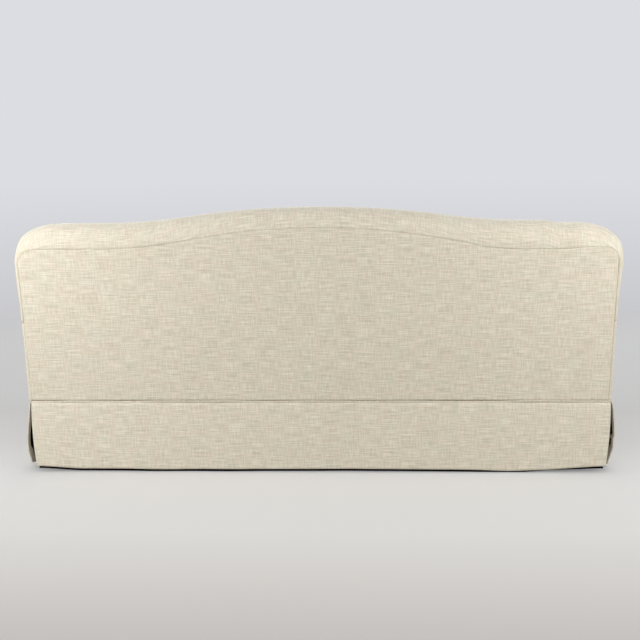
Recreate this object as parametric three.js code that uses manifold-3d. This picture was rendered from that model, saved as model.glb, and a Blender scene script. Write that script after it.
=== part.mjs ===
// A three-seat camelback sofa: a hardwood frame with sprung seat, a tight padded back with a
// humped top line, rolled arms, three loose seat cushions and a full skirt with kick pleats.
// Millimetres, +Z up. The front faces -Y and the origin is on the floor under the middle.

import * as THREE from "three";
import { mergeVertices } from "three/addons/utils/BufferGeometryUtils.js";
import Module from "manifold-3d";

const wasm = await Module();
wasm.setup();

// Overall sizes
const overallDepth = 940;
const backWidth = 2130; // across the shoulders
const skirtTop = 263;
const hemHeight = 9;
const railRise = 27; // from the skirt's top to the top of the seat rails
const deckRise = 40; // from there to what the seat cushions lie on
const armRise = 320; // from the deck to the top of the arms
const shoulderRise = 262; // from there to the top line at each side of the hump
const humpRise = 53; // and on to the top of the hump

// The hump's plan, shared by the top line and the back seam
const crownHalfWidth = 455; // the round part, from the middle
const hollowWidth = 298; // the hollow part that runs out to the shoulder

// Clearances
const fit = 0.3; // between pieces that touch
const sewnGap = 1; // between covers that meet at a seam
const overrun = 20; // how far a cutter passes what it cuts

// Back
const rearRake = 59; // how far the rear face leans out from skirt to seam
const backThicknessLow = 297; // from the inside back to the rear face, at the deck
const backThicknessHigh = 164; // and where the top roll springs at the shoulders
const rollRise = 75; // the top roll's height above the faces that it joins
const shoulderCornerWidth = 155;
const shoulderCornerHeight = 95;
const shoulderSwell = 13; // how far each shoulder stands out past the outside arm
const innerEdgeRadius = 45;
const rearEdgeRadius = 12;
const backCrown = 12; // how far the inside back swells towards the sitter
const backPadding = 60;
const swellStart = 40; // the shoulder's swell starts this far above the outside arm
const swellRun = 120; // and is full this much higher
const seamDropMiddle = 65; // from the top line down to the back seam, in the middle
const seamDropSide = 85; // and beside the hump
const seamCornerRadius = 45;
const backPanelThickness = 8;
const armPanelThickness = 5;

// Arms
const armWidth = 162; // from the seat to the outside arm panel
const rollOverhang = 28; // how far the roll stands out past that panel
const rollHeight = 90; // from the roll's widest line to its top
const rollCurl = 45; // from the widest line down to where the roll meets the outside arm
const armPadding = 27;
const armTopPadding = 40;
const facingThickness = 8;
const facingInset = 5;

// Seat
const seatCount = 3;
const cushionGap = 1;
const cushionEdge = 140; // height of a cushion's border
const cushionCrown = 24;
const cushionCornerRadius = 22;
const cushionDrawIn = 5; // how far a side pulls in between its corners
const cushionBorderSwell = 6;
const cushionBackGap = 3;
const deckThickness = 15;
const borderLip = 74; // how far the front border reaches back over the springs
const borderRound = 14;

// Frame timber
const boardThickness = 28;
const railHeight = 150;
const camelRailThickness = 55;
const camelRailDrop = 142; // from the shoulders' top line to the rail's underside
const camelRailCover = 45; // padding over the rail's top
const camelRailEnd = 35; // padding past its ends
const lowerRailHeight = 50;
const lowerRailRise = 15; // the lower back rail's height above the deck
const uprightX = 300;
const stretcherHeight = 100;
const armRailThickness = 30;
const tackRailHeight = 40;
const cornerBlockLeg = 95;
const cornerBlockHeight = 70;
const cornerBlockDrop = 8;
const footTop = 62;
const footToe = 44;
const footInset = 46; // from the frame's outside to the foot
const dustCoverThickness = 2.5;

// Springs and webbing
const springWire = 4;
const springWave = 24; // half the width of a spring's zigzag
const springWaves = 7;
const springsPerSeat = 2;
const strapWidth = 60;
const strapThickness = 2.5;
const strapSpacing = 620;
const strapHold = 30; // how much of each strap lies on a rail
const strapCount = 3;

// Skirt
const weltDiameter = 10;
const weltStandOff = 2;
const skirtStandOff = 3;
const skirtThickness = 5;
const skirtFlare = 8; // how far the hem stands out from the top
const hemLift = 12; // how far the hem rises at a corner
const hemLiftReach = 190;
const pleatBulgeRear = 15; // how far a side skirt bellies out beside a rear corner
const pleatBulgeFront = 10;
const pleatBulgeAcross = 2; // the same on the front and back skirts
const pleatBulgeReach = 170;
const pleatGap = 6; // between two skirts at a corner
const underlayLeg = 110;
const underlayThickness = 3;
const underlayRise = 6; // above the skirt's hem

// How finely the round shapes are divided
const humpStations = 30;
const cornerStations = 6;
const rollSteps = 12;
const innerFaceSteps = 4;
const seamCornerSteps = 5;
const armRollSteps = 12;
const armCurlSteps = 4;
const cushionPoints = 48;
const cushionSideRings = 4;
const cushionTopRings = 6;
const skirtStations = 18;
const skirtLevels = 6;
const weltSides = 8;
const wireSides = 5;
const stepsPerWave = 6;
const borderRoundSteps = 3;

// Places that follow from the sizes
const railTop = skirtTop + railRise;
const railBottom = railTop - railHeight;
const deckHeight = railTop + deckRise;
const armHeight = deckHeight + armRise;
const shoulderHeight = armHeight + shoulderRise;
const crestHeight = shoulderHeight + humpRise;
const seamCrestHeight = crestHeight - seamDropMiddle;
const seamShoulderHeight = shoulderHeight - seamDropSide;
const camelRailBottom = shoulderHeight - camelRailDrop;
const sidePlane = backWidth / 2 - shoulderSwell;
const rollOutside = sidePlane + rollOverhang;
const armInner = sidePlane - armWidth;
const seatWidth = 2 * armInner;
const shoulderSpring = shoulderHeight - rollRise;
const rearSlope = rearRake / (seamCrestHeight - skirtTop);
const bodyFront = -overallDepth / 2 + skirtFlare + skirtThickness + skirtStandOff;
const innerFoot = rearFace(deckHeight) - backThicknessLow;
const innerHead = rearFace(shoulderSpring) - backThicknessHigh;
const innerSlope = (innerHead - innerFoot) / (shoulderSpring - deckHeight);
const frameSide = sidePlane - armPanelThickness - fit;
const frameFront = bodyFront + facingThickness + fit;
const frameRear = rearFace(railBottom) - backPanelThickness - fit;
const cushionBottom = deckHeight + fit;
const cushionTop = cushionBottom + cushionEdge;
const wingBottom = armHeight - rollHeight;
const coverBottom = skirtTop + weltDiameter / 2 + fit;
const skirtHang = skirtTop - weltDiameter / 2 - fit;
const armCavityInner = armInner + armPadding;
const armCavityTop = armHeight - armTopPadding;
const armRailBottom = armCavityTop - fit - armRailThickness;
const armRailEnd = padRear(armRailBottom);
const seamHalfWidth = sidePlane - armPanelThickness;
const lowerRailBottom = deckHeight + lowerRailRise;
const lowerRailTop = lowerRailBottom + lowerRailHeight;
const strapTop = camelRailBottom + strapHold;
const lowerRailFront = padRear(lowerRailTop) + strapThickness + 2 * fit;
const camelRailFront = padRear(strapTop) + strapThickness + 2 * fit;

const sofa = new THREE.Group();
sofa.name = "camelback_sofa";

// Finishes, as colour, roughness and metalness
const finishes = {
  linen: ["#d9ceb4", 0.95, 0],
  hardwood: ["#b98d5c", 0.7, 0],
  stainedWood: ["#4a3324", 0.5, 0],
  springSteel: ["#8d9094", 0.4, 1],
  jute: ["#b09468", 0.9, 0],
  deckCloth: ["#e2dac6", 0.95, 0],
  dustCloth: ["#242424", 0.95, 0],
};

function add(name, geometry, finish) {
  const [color, roughness, metalness] = finishes[finish];
  const material = new THREE.MeshStandardMaterial({ color, roughness, metalness });
  const mesh = new THREE.Mesh(geometry, material);
  mesh.name = name;
  sofa.add(mesh);
  return mesh;
}

// The rear face of the back leans out as it rises.
function rearFace(z) {
  return overallDepth / 2 - rearSlope * (seamCrestHeight - z);
}

// The inside back leans away from the seat.
function innerFace(z) {
  return innerFoot + innerSlope * (z - deckHeight);
}

function padRear(z) {
  return innerFace(z) + backPadding;
}

// The camel line: a round arc over the middle that turns tangentially into a hollow arc.
function camelLine(x, side, crest) {
  const reach = crownHalfWidth + hollowWidth;
  const turn = 2 * Math.atan((crest - side) / reach);
  const crownRadius = crownHalfWidth / Math.sin(turn);
  const hollowRadius = hollowWidth / Math.sin(turn);
  const out = Math.abs(x);
  if (out < crownHalfWidth) return crest - crownRadius + Math.sqrt(crownRadius ** 2 - out ** 2);
  if (out < reach) return side + hollowRadius - Math.sqrt(hollowRadius ** 2 - (reach - out) ** 2);
  return side;
}

// How far a rounded edge has fallen back, a given way before the end of a face.
function roundedDrop(beforeEnd, along, down) {
  const share = 1 - Math.min(Math.max(beforeEnd, 0), along) / along;
  return down * (1 - Math.sqrt(1 - share ** 2));
}

function topLine(x) {
  const beforeEnd = backWidth / 2 - Math.abs(x);
  const drop = roundedDrop(beforeEnd, shoulderCornerWidth, shoulderCornerHeight);
  return camelLine(x, shoulderHeight, crestHeight) - drop;
}

function smoothStep(share) {
  const t = Math.min(Math.max(share, 0), 1);
  return t * t * (3 - 2 * t);
}

// A closed body through rings of equal point counts, with a flat cap on each end.
function loft(rings) {
  const count = rings[0].length;
  const positions = rings.flat().flatMap((point) => point.toArray());
  const faces = [];
  for (let ring = 0; ring + 1 < rings.length; ring++) {
    for (let i = 0; i < count; i++) {
      const a = ring * count + i;
      const b = ring * count + ((i + 1) % count);
      faces.push(a, b, b + count, a, b + count, a + count);
    }
  }
  const lastRing = (rings.length - 1) * count;
  for (const [a, b, c] of capFaces(rings[0])) faces.push(a, c, b);
  for (const [a, b, c] of capFaces(rings.at(-1))) faces.push(lastRing + a, lastRing + b, lastRing + c);
  if (signedVolume(positions, faces) < 0) faces.reverse();
  const geometry = new THREE.BufferGeometry();
  geometry.setAttribute("position", new THREE.Float32BufferAttribute(positions, 3));
  geometry.setIndex(faces);
  return geometry;
}

// Triangles that fill a flat ring, wound the way the ring runs.
function capFaces(ring) {
  const normal = new THREE.Vector3();
  ring.forEach((point, i) => {
    const next = ring[(i + 1) % ring.length];
    normal.add(new THREE.Vector3().crossVectors(point, next));
  });
  const toPlane = new THREE.Quaternion().setFromUnitVectors(normal.normalize(), new THREE.Vector3(0, 0, 1));
  const flat = ring.map((point) => {
    const turned = point.clone().applyQuaternion(toPlane);
    return new THREE.Vector2(turned.x, turned.y);
  });
  return THREE.ShapeUtils.triangulateShape(flat, []);
}

function signedVolume(positions, faces) {
  const corner = (index) => new THREE.Vector3().fromArray(positions, index * 3);
  let sum = 0;
  for (let i = 0; i < faces.length; i += 3) {
    const [a, b, c] = [corner(faces[i]), corner(faces[i + 1]), corner(faces[i + 2])];
    sum += a.dot(b.cross(c));
  }
  return sum;
}

// A block between two corners.
function block([x0, x1], [y0, y1], [z0, z1]) {
  const geometry = new THREE.BoxGeometry(x1 - x0, y1 - y0, z1 - z0);
  return geometry.translate((x0 + x1) / 2, (y0 + y1) / 2, (z0 + z1) / 2);
}

function outlineShape(outline) {
  return new THREE.Shape(outline.map(([u, v]) => new THREE.Vector2(u, v)));
}

// A board cut to an outline of [y, z] points, standing between two places along X.
function boardAlongX(outline, low, high) {
  const geometry = new THREE.ExtrudeGeometry(outlineShape(outline), {
    depth: high - low,
    bevelEnabled: false,
  });
  const toYZ = new THREE.Matrix4().makeBasis(
    new THREE.Vector3(0, 1, 0),
    new THREE.Vector3(0, 0, 1),
    new THREE.Vector3(1, 0, 0),
  );
  return geometry.applyMatrix4(toYZ).translate(low, 0, 0);
}

// A board cut to an outline of [x, z] points, standing between two places along Y.
function boardAlongY(outline, low, high) {
  const geometry = new THREE.ExtrudeGeometry(outlineShape(outline), {
    depth: high - low,
    bevelEnabled: false,
  });
  const toXZ = new THREE.Matrix4().makeBasis(
    new THREE.Vector3(1, 0, 0),
    new THREE.Vector3(0, 0, 1),
    new THREE.Vector3(0, -1, 0),
  );
  return geometry.applyMatrix4(toXZ).translate(0, high, 0);
}

// A board cut to an outline of [x, y] points, lying between two heights.
function boardAlongZ(outline, low, high) {
  const geometry = new THREE.ExtrudeGeometry(outlineShape(outline), {
    depth: high - low,
    bevelEnabled: false,
  });
  return geometry.translate(0, 0, low);
}

function toSolid(geometry) {
  const bare = geometry.clone();
  bare.deleteAttribute("normal");
  bare.deleteAttribute("uv");
  const merged = mergeVertices(bare);
  return new wasm.Manifold(
    new wasm.Mesh({
      numProp: 3,
      vertProperties: merged.attributes.position.array,
      triVerts: new Uint32Array(merged.index.array),
    }),
  );
}

function cut(geometry, cutters) {
  const left = cutters.reduce((solid, cutter) => solid.subtract(toSolid(cutter)), toSolid(geometry));
  const mesh = left.getMesh();
  const result = new THREE.BufferGeometry();
  result.setAttribute("position", new THREE.BufferAttribute(mesh.vertProperties, 3));
  result.setIndex(new THREE.BufferAttribute(mesh.triVerts, 1));
  return result;
}

// The same piece on the right of the sofa and, mirrored, on its left.
const hands = [
  ["right", 1],
  ["left", -1],
];

// Orders two places along X after one side has been mirrored.
function across(hand, near, far) {
  return hand > 0 ? [near, far] : [-far, -near];
}

// The stations across the back: even over the hump, closer round the shoulders.
function backStations() {
  const straight = backWidth / 2 - shoulderCornerWidth;
  const stations = [];
  for (let i = 0; i <= humpStations; i++) stations.push(straight * ((2 * i) / humpStations - 1));
  for (let i = 1; i <= cornerStations; i++) {
    const out = straight + shoulderCornerWidth * Math.sin((Math.PI * i) / (2 * cornerStations));
    stations.push(out);
    stations.unshift(-out);
  }
  return stations;
}

// One slice of the whole padded back, from the deck up the inside, over the roll and down the rear.
function backSlice(station) {
  const beforeEnd = backWidth / 2 - Math.abs(station);
  const frontDrop = roundedDrop(beforeEnd, innerEdgeRadius, innerEdgeRadius);
  const rearDrop = roundedDrop(beforeEnd, rearEdgeRadius, rearEdgeRadius);
  const spring = topLine(station) - rollRise;
  const bottom = deckHeight + fit;
  const crown = backCrown * Math.max(0, 1 - (station / armInner) ** 2);
  const slice = [[innerFace(bottom) + frontDrop, bottom]];
  for (let i = 0; i <= innerFaceSteps; i++) {
    const share = i / innerFaceSteps;
    const z = cushionTop + share * (spring - cushionTop);
    slice.push([innerFace(z) + frontDrop - crown * Math.sin(Math.PI * share), z]);
  }
  const inner = innerFace(spring) + frontDrop;
  const rear = rearFace(spring) - rearDrop;
  for (let i = 1; i < rollSteps; i++) {
    const angle = (Math.PI * i) / rollSteps;
    const y = (inner + rear) / 2 - ((rear - inner) / 2) * Math.cos(angle);
    slice.push([y, spring + rollRise * Math.sin(angle)]);
  }
  slice.push([rear, spring]);
  slice.push([rearFace(bottom) - rearDrop, bottom]);
  return slice.map(([y, z]) => {
    const swell = smoothStep((z - wingBottom - swellStart) / swellRun);
    const halfWidth = sidePlane + (backWidth / 2 - sidePlane) * swell;
    return new THREE.Vector3((station * halfWidth) / (backWidth / 2), y, z);
  });
}

// The back panel's outline inside its seam, as [x, z] points, let out by a margin.
function backPanelOutline(margin) {
  const half = seamHalfWidth - sewnGap + margin;
  const radius = seamCornerRadius + margin;
  const side = seamShoulderHeight - sewnGap + margin;
  const crest = seamCrestHeight - sewnGap + margin;
  const bottom = coverBottom - margin;
  const outline = [
    [-half, bottom],
    [half, bottom],
  ];
  for (let i = 0; i <= seamCornerSteps; i++) {
    const angle = (Math.PI * i) / (2 * seamCornerSteps);
    outline.push([half - radius + radius * Math.cos(angle), side - radius + radius * Math.sin(angle)]);
  }
  const reach = crownHalfWidth + hollowWidth;
  for (let i = 0; i <= humpStations; i++) {
    const x = reach * (1 - (2 * i) / humpStations);
    outline.push([x, camelLine(x, side, crest)]);
  }
  for (let i = seamCornerSteps; i >= 0; i--) {
    const angle = (Math.PI * i) / (2 * seamCornerSteps);
    outline.push([radius - half - radius * Math.cos(angle), side - radius + radius * Math.sin(angle)]);
  }
  return outline;
}

// A flat piece that lies along the leaning rear face, between two depths behind it.
function alongRearFace(outline, inner, outer) {
  const ringAt = (depth) => outline.map(([x, z]) => new THREE.Vector3(x, rearFace(z) + depth, z));
  return loft([ringAt(inner), ringAt(outer)]);
}

// The camel rail's outline, as [x, z] points, let out by a margin.
function camelRailOutline(margin) {
  const half = backWidth / 2 - camelRailEnd + margin;
  const outline = [
    [-half, camelRailBottom - margin],
    [half, camelRailBottom - margin],
  ];
  for (let i = 0; i <= humpStations + cornerStations; i++) {
    const x = half * (1 - (2 * i) / (humpStations + cornerStations));
    outline.push([x, topLine(x) - camelRailCover + margin]);
  }
  return outline;
}

function addBackCovers() {
  const whole = loft(backStations().map(backSlice));
  const bottom = deckHeight - overrun;
  const lowSides = hands.map(([, hand]) =>
    block(
      across(hand, armInner - sewnGap, backWidth),
      [-overallDepth, overallDepth],
      [bottom, wingBottom + fit],
    ),
  );
  const hollow = boardAlongX(
    [
      [padRear(bottom), bottom],
      [rearFace(bottom) - backPanelThickness - fit, bottom],
      [rearFace(camelRailBottom) - backPanelThickness - fit, camelRailBottom],
      [padRear(camelRailBottom), camelRailBottom],
    ],
    -frameSide - fit,
    frameSide + fit,
  );
  const railSlot = boardAlongY(
    camelRailOutline(fit),
    camelRailFront - strapThickness - 2 * fit,
    camelRailFront + camelRailThickness + fit,
  );
  const armRailSlots = hands.map(([, hand]) =>
    block(
      across(hand, armCavityInner, frameSide + fit),
      [bodyFront, armRailEnd + fit],
      [bottom, armCavityTop],
    ),
  );
  const recess = alongRearFace(backPanelOutline(sewnGap), -backPanelThickness - 2 * fit, overrun);
  add("inside_back", cut(whole, [...lowSides, hollow, railSlot, ...armRailSlots, recess]), "linen");
  add("outside_back", alongRearFace(backPanelOutline(0), -backPanelThickness, 0), "linen");
}

// An arm's outer outline as [x, z] points, from the seat side over the roll to the outside,
// taken in by an inset.
function armOutline(inset, bottom) {
  const inner = armInner + inset;
  const outer = rollOutside - inset;
  const centre = (armInner + rollOutside) / 2;
  const line = armHeight - rollHeight;
  const outline = [[inner, bottom]];
  for (let i = 0; i <= armRollSteps; i++) {
    const angle = (Math.PI * i) / armRollSteps;
    const x = centre - (centre - inner) * Math.cos(angle);
    outline.push([x, line + (rollHeight - inset) * Math.sin(angle)]);
  }
  for (let i = 1; i <= armCurlSteps; i++) {
    const angle = (Math.PI * i) / (2 * armCurlSteps);
    const x = sidePlane + (outer - sidePlane) * Math.cos(angle);
    outline.push([x, line - (rollCurl - inset) * Math.sin(angle)]);
  }
  return outline;
}

// The arms run back to the rounded front edge of the inside back, which cuts their ends.
function addArmCovers() {
  const backFront = loft(backStations().map(backSlice)).translate(0, -sewnGap, 0);
  const armRear = (z) => innerFace(z) + innerEdgeRadius;
  const curlBottom = armHeight - rollHeight - rollCurl;
  const padBottom = railTop + fit;
  const padSection = [
    ...armOutline(0, padBottom),
    [frameSide + fit, curlBottom],
    [frameSide + fit, armCavityTop],
    [armCavityInner, armCavityTop],
    [armCavityInner, padBottom],
  ];
  const facingSection = [...armOutline(facingInset, coverBottom), [sidePlane, coverBottom]];
  const panelOutline = [
    [frameFront, coverBottom],
    [frameFront, curlBottom - fit],
    [armRear(curlBottom) + sewnGap, curlBottom - fit],
    [armRear(wingBottom) + sewnGap, wingBottom],
    [rearFace(wingBottom), wingBottom],
    [rearFace(coverBottom), coverBottom],
  ];
  for (const [side, hand] of hands) {
    const mirrored = (outline) => outline.map(([x, z]) => [hand * x, z]);
    const front = mirrored(padSection).map(([x, z]) => new THREE.Vector3(x, frameFront, z));
    const rear = mirrored(padSection).map(([x, z]) => new THREE.Vector3(x, armRear(z), z));
    add(`${side}_arm_pad`, cut(loft([front, rear]), [backFront]), "linen");
    add(
      `${side}_outside_arm`,
      boardAlongX(panelOutline, ...across(hand, sidePlane - armPanelThickness, sidePlane)),
      "linen",
    );
    add(
      `${side}_arm_facing`,
      boardAlongY(mirrored(facingSection), bodyFront, bodyFront + facingThickness),
      "linen",
    );
  }
}

// The plan of a box cushion with soft corners, whose sides pull in between them. The rings that
// climb its crown grow rounder as they shrink.
function cushionRing(centreX, halfX, front, rear, scaleShare, z) {
  const halfY = (rear - front) / 2;
  const centreY = (rear + front) / 2;
  const ring = [];
  for (let i = 0; i < cushionPoints; i++) {
    const angle = (2 * Math.PI * i) / cushionPoints;
    const edge = Math.max(Math.abs(Math.cos(angle)), Math.abs(Math.sin(angle))) ** scaleShare;
    const drawIn = cushionDrawIn * Math.cos(2 * angle) ** 2;
    const cornerCut = cushionCornerRadius * Math.sin(2 * angle) ** 16 * (1 - Math.SQRT1_2);
    const reachX = (halfX - drawIn - cornerCut) * scaleShare;
    const reachY = (halfY - drawIn - cornerCut) * scaleShare;
    const x = centreX + (reachX * Math.cos(angle)) / edge;
    const y = centreY + (reachY * Math.sin(angle)) / edge;
    ring.push(new THREE.Vector3(x, y, z));
  }
  return ring;
}

function addCushions() {
  const names = ["left", "centre", "right"];
  const pitch = (seatWidth - cushionGap) / seatCount;
  const halfX = (pitch - cushionGap) / 2;
  for (let seat = 0; seat < seatCount; seat++) {
    const centreX = (seat - (seatCount - 1) / 2) * pitch;
    const rings = [];
    for (let i = 0; i <= cushionSideRings; i++) {
      const share = i / cushionSideRings;
      const z = cushionBottom + share * cushionEdge;
      const tuck = cushionBorderSwell * (2 * share - 1) ** 2;
      const rear = innerFace(z) - cushionBackGap - tuck;
      rings.push(cushionRing(centreX, halfX - tuck, bodyFront + tuck, rear, 1, z));
    }
    for (let i = 1; i <= cushionTopRings; i++) {
      const angle = (Math.PI * i) / (2 * cushionTopRings + 1);
      const z = cushionTop + cushionCrown * Math.sin(angle);
      const rear = innerFace(cushionTop) - cushionBackGap - cushionBorderSwell;
      const halfTop = halfX - cushionBorderSwell;
      rings.push(
        cushionRing(centreX, halfTop, bodyFront + cushionBorderSwell, rear, Math.cos(angle), z),
      );
    }
    const name = names[seat] ?? `extra_${seat}`;
    add(`${name}_seat_cushion`, loft(rings), "linen");
  }
}

function addSeatBase() {
  const borderTop = deckHeight;
  const lipBottom = deckHeight - deckThickness;
  const border = [
    [frameFront - fit, coverBottom],
    [frameFront - fit, lipBottom],
    [bodyFront + borderLip, lipBottom],
    [bodyFront + borderLip, borderTop],
  ];
  for (let i = 0; i <= borderRoundSteps; i++) {
    const angle = (Math.PI * i) / (2 * borderRoundSteps);
    border.push([
      bodyFront + borderRound * (1 - Math.sin(angle)),
      borderTop - borderRound * (1 - Math.cos(angle)),
    ]);
  }
  border.push([bodyFront, coverBottom]);
  const half = armInner - sewnGap;
  add("front_border", boardAlongX(border, -half, half), "linen");
  const deckRear = padRear(deckHeight);
  add(
    "seat_deck",
    block([-half, half], [bodyFront + borderLip + sewnGap, deckRear], [lipBottom, deckHeight]),
    "deckCloth",
  );
  const dustTop = railBottom - fit;
  add(
    "dust_cover",
    block([-frameSide, frameSide], [frameFront, frameRear], [dustTop - dustCoverThickness, dustTop]),
    "dustCloth",
  );
}

function addSeatFrame() {
  const height = [railBottom, railTop];
  const wide = [-frameSide, frameSide];
  const between = [frameFront + boardThickness + fit, frameRear - boardThickness - fit];
  add("front_seat_rail", block(wide, [frameFront, frameFront + boardThickness], height), "hardwood");
  add("rear_seat_rail", block(wide, [frameRear - boardThickness, frameRear], height), "hardwood");
  const stretcherTop = railBottom + stretcherHeight;
  const blockTop = railTop - cornerBlockDrop;
  for (const [side, hand] of hands) {
    const railX = across(hand, frameSide - boardThickness, frameSide);
    add(`${side}_seat_rail`, block(railX, between, height), "hardwood");
    const stretcherX = across(hand, uprightX - boardThickness / 2, uprightX + boardThickness / 2);
    add(`${side}_stretcher`, block(stretcherX, between, [railBottom, stretcherTop]), "hardwood");
    const cornerX = hand * (frameSide - boardThickness - fit);
    const inX = cornerX - hand * cornerBlockLeg;
    for (const [end, cornerY, way] of [
      ["front", between[0], 1],
      ["rear", between[1], -1],
    ]) {
      const outline = [
        [cornerX, cornerY],
        [inX, cornerY],
        [cornerX, cornerY + way * cornerBlockLeg],
      ];
      add(
        `${end}_${side}_corner_block`,
        boardAlongZ(outline, blockTop - cornerBlockHeight, blockTop),
        "hardwood",
      );
    }
  }
}

// A leg tapers to its toe.
function foot(x, y) {
  const top = railBottom - 2 * fit - dustCoverThickness;
  const square = (size, z) =>
    [
      [-1, -1],
      [1, -1],
      [1, 1],
      [-1, 1],
    ].map(([u, v]) => new THREE.Vector3(x + (u * size) / 2, y + (v * size) / 2, z));
  return loft([square(footToe, 0), square(footTop, top)]);
}

function addFeet() {
  const half = frameSide - footInset - footTop / 2;
  const frontY = frameFront + footInset + footTop / 2;
  const rearY = frameRear - footInset - footTop / 2;
  for (const [place, x] of [
    ["left", -half],
    ["middle", 0],
    ["right", half],
  ]) {
    add(`front_${place}_foot`, foot(x, frontY), "stainedWood");
    add(`rear_${place}_foot`, foot(x, rearY), "stainedWood");
  }
}

function addBackFrame() {
  const foot = railTop + fit;
  const head = camelRailBottom - fit;
  const rearEdge = (z) => rearFace(z) - backPanelThickness - 2 * fit;
  const post = [
    [padRear(foot) + fit, foot],
    [rearEdge(foot), foot],
    [rearEdge(head), head],
    [padRear(head) + fit, head],
  ];
  const behindRail = lowerRailFront + boardThickness + fit;
  const bend = deckHeight + (behindRail - fit - padRear(deckHeight)) / innerSlope;
  const upright = [
    [behindRail, foot],
    [rearEdge(foot), foot],
    [rearEdge(head), head],
    [padRear(head) + fit, head],
    [behindRail, bend],
  ];
  const postInner = frameSide - boardThickness;
  for (const [side, hand] of hands) {
    add(`${side}_back_post`, boardAlongX(post, ...across(hand, postInner, frameSide)), "hardwood");
    const uprightSides = across(hand, uprightX - boardThickness / 2, uprightX + boardThickness / 2);
    add(`${side}_back_upright`, boardAlongX(upright, ...uprightSides), "hardwood");
  }
  add(
    "camel_top_rail",
    boardAlongY(camelRailOutline(0), camelRailFront, camelRailFront + camelRailThickness),
    "hardwood",
  );
  const lowerHalf = postInner - fit;
  add(
    "lower_back_rail",
    block(
      [-lowerHalf, lowerHalf],
      [lowerRailFront, lowerRailFront + boardThickness],
      [lowerRailBottom, lowerRailTop],
    ),
    "hardwood",
  );
}

function addArmFrame() {
  const postTop = armRailBottom - fit;
  const postRear = frameFront + fit + boardThickness;
  const railInner = armCavityInner + fit;
  for (const [side, hand] of hands) {
    const wide = across(hand, railInner, frameSide);
    add(
      `${side}_arm_post`,
      block(wide, [frameFront + fit, postRear], [railTop + fit, postTop]),
      "hardwood",
    );
    add(
      `${side}_arm_rail`,
      block(wide, [frameFront + fit, armRailEnd], [armRailBottom, armCavityTop - fit]),
      "hardwood",
    );
    add(
      `${side}_arm_tack_rail`,
      block(
        across(hand, railInner, railInner + boardThickness),
        [postRear + fit, lowerRailFront - fit],
        [lowerRailBottom, lowerRailBottom + tackRailHeight],
      ),
      "hardwood",
    );
  }
}

// A sinuous seat spring: a zigzag wire that arches from the front rail to the rear one.
function addSprings() {
  const springCount = seatCount * springsPerSeat;
  const spacing = seatWidth / springCount;
  const low = railTop + fit + springWire / 2;
  const arch = deckHeight - deckThickness - fit - springWire / 2 - low;
  const start = frameFront + boardThickness / 2;
  const end = frameRear - boardThickness / 2;
  const steps = springWaves * stepsPerWave;
  const section = [];
  for (let i = 0; i < wireSides; i++) {
    const angle = (2 * Math.PI * i) / wireSides;
    section.push([(springWire / 2) * Math.cos(angle), (springWire / 2) * Math.sin(angle)]);
  }
  for (let spring = 0; spring < springCount; spring++) {
    const x = (spring - (springCount - 1) / 2) * spacing;
    const points = [];
    for (let i = 0; i <= steps; i++) {
      const share = i / steps;
      points.push(
        new THREE.Vector3(
          x + springWave * Math.sin(2 * Math.PI * springWaves * share),
          start + share * (end - start),
          low + arch * Math.sin(Math.PI * share),
        ),
      );
    }
    const geometry = new THREE.ExtrudeGeometry(outlineShape(section), {
      extrudePath: new THREE.CatmullRomCurve3(points),
      steps,
      bevelEnabled: false,
    });
    add(`seat_spring_${spring + 1}`, geometry, "springSteel");
  }
}

// Jute webbing that carries the inside back, tacked on the lower rail and the camel rail.
function addWebbing() {
  const lower = lowerRailFront - fit;
  const upper = camelRailFront - fit;
  const outline = [
    [lower, lowerRailTop - strapHold],
    [lower, lowerRailTop],
    [upper, camelRailBottom],
    [upper, strapTop],
    [upper - strapThickness, strapTop],
    [upper - strapThickness, camelRailBottom],
    [lower - strapThickness, lowerRailTop],
    [lower - strapThickness, lowerRailTop - strapHold],
  ];
  for (let i = 0; i < strapCount; i++) {
    const x = (i - (strapCount - 1) / 2) * strapSpacing;
    const strap = boardAlongX(outline, x - strapWidth / 2, x + strapWidth / 2);
    add(`back_webbing_${i + 1}`, strap, "jute");
  }
}

// How far a skirt stands out from where it hangs: its flare, and the belly beside each corner.
function skirtOut(share, toStart, toEnd, startBulge, endBulge) {
  const belly = Math.sin(Math.PI * share);
  const near = (distance) => 1 - smoothStep(distance / pleatBulgeReach);
  return skirtFlare * share + belly * (startBulge * near(toStart) + endBulge * near(toEnd));
}

// One hanging skirt, made along X and facing +Y, with its top inner edge on the X axis.
function skirt(length, startBulge, endBulge) {
  const rings = [];
  for (let i = 0; i <= skirtStations; i++) {
    const x = (-length / 2) * Math.cos((Math.PI * i) / skirtStations);
    const [toStart, toEnd] = [length / 2 + x, length / 2 - x];
    const lift = hemLift * (1 - smoothStep(Math.min(toStart, toEnd) / hemLiftReach));
    const drop = skirtHang - hemHeight - lift;
    const ring = [];
    for (let level = 0; level <= skirtLevels; level++) {
      const share = level / skirtLevels;
      const out = skirtOut(share, toStart, toEnd, startBulge, endBulge);
      ring.push(new THREE.Vector3(x, out + skirtThickness, skirtHang - drop * share));
    }
    for (let level = skirtLevels; level >= 0; level--) {
      const share = level / skirtLevels;
      const out = skirtOut(share, toStart, toEnd, startBulge, endBulge);
      ring.push(new THREE.Vector3(x, out, skirtHang - drop * share));
    }
    rings.push(ring);
  }
  return loft(rings);
}

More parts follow.
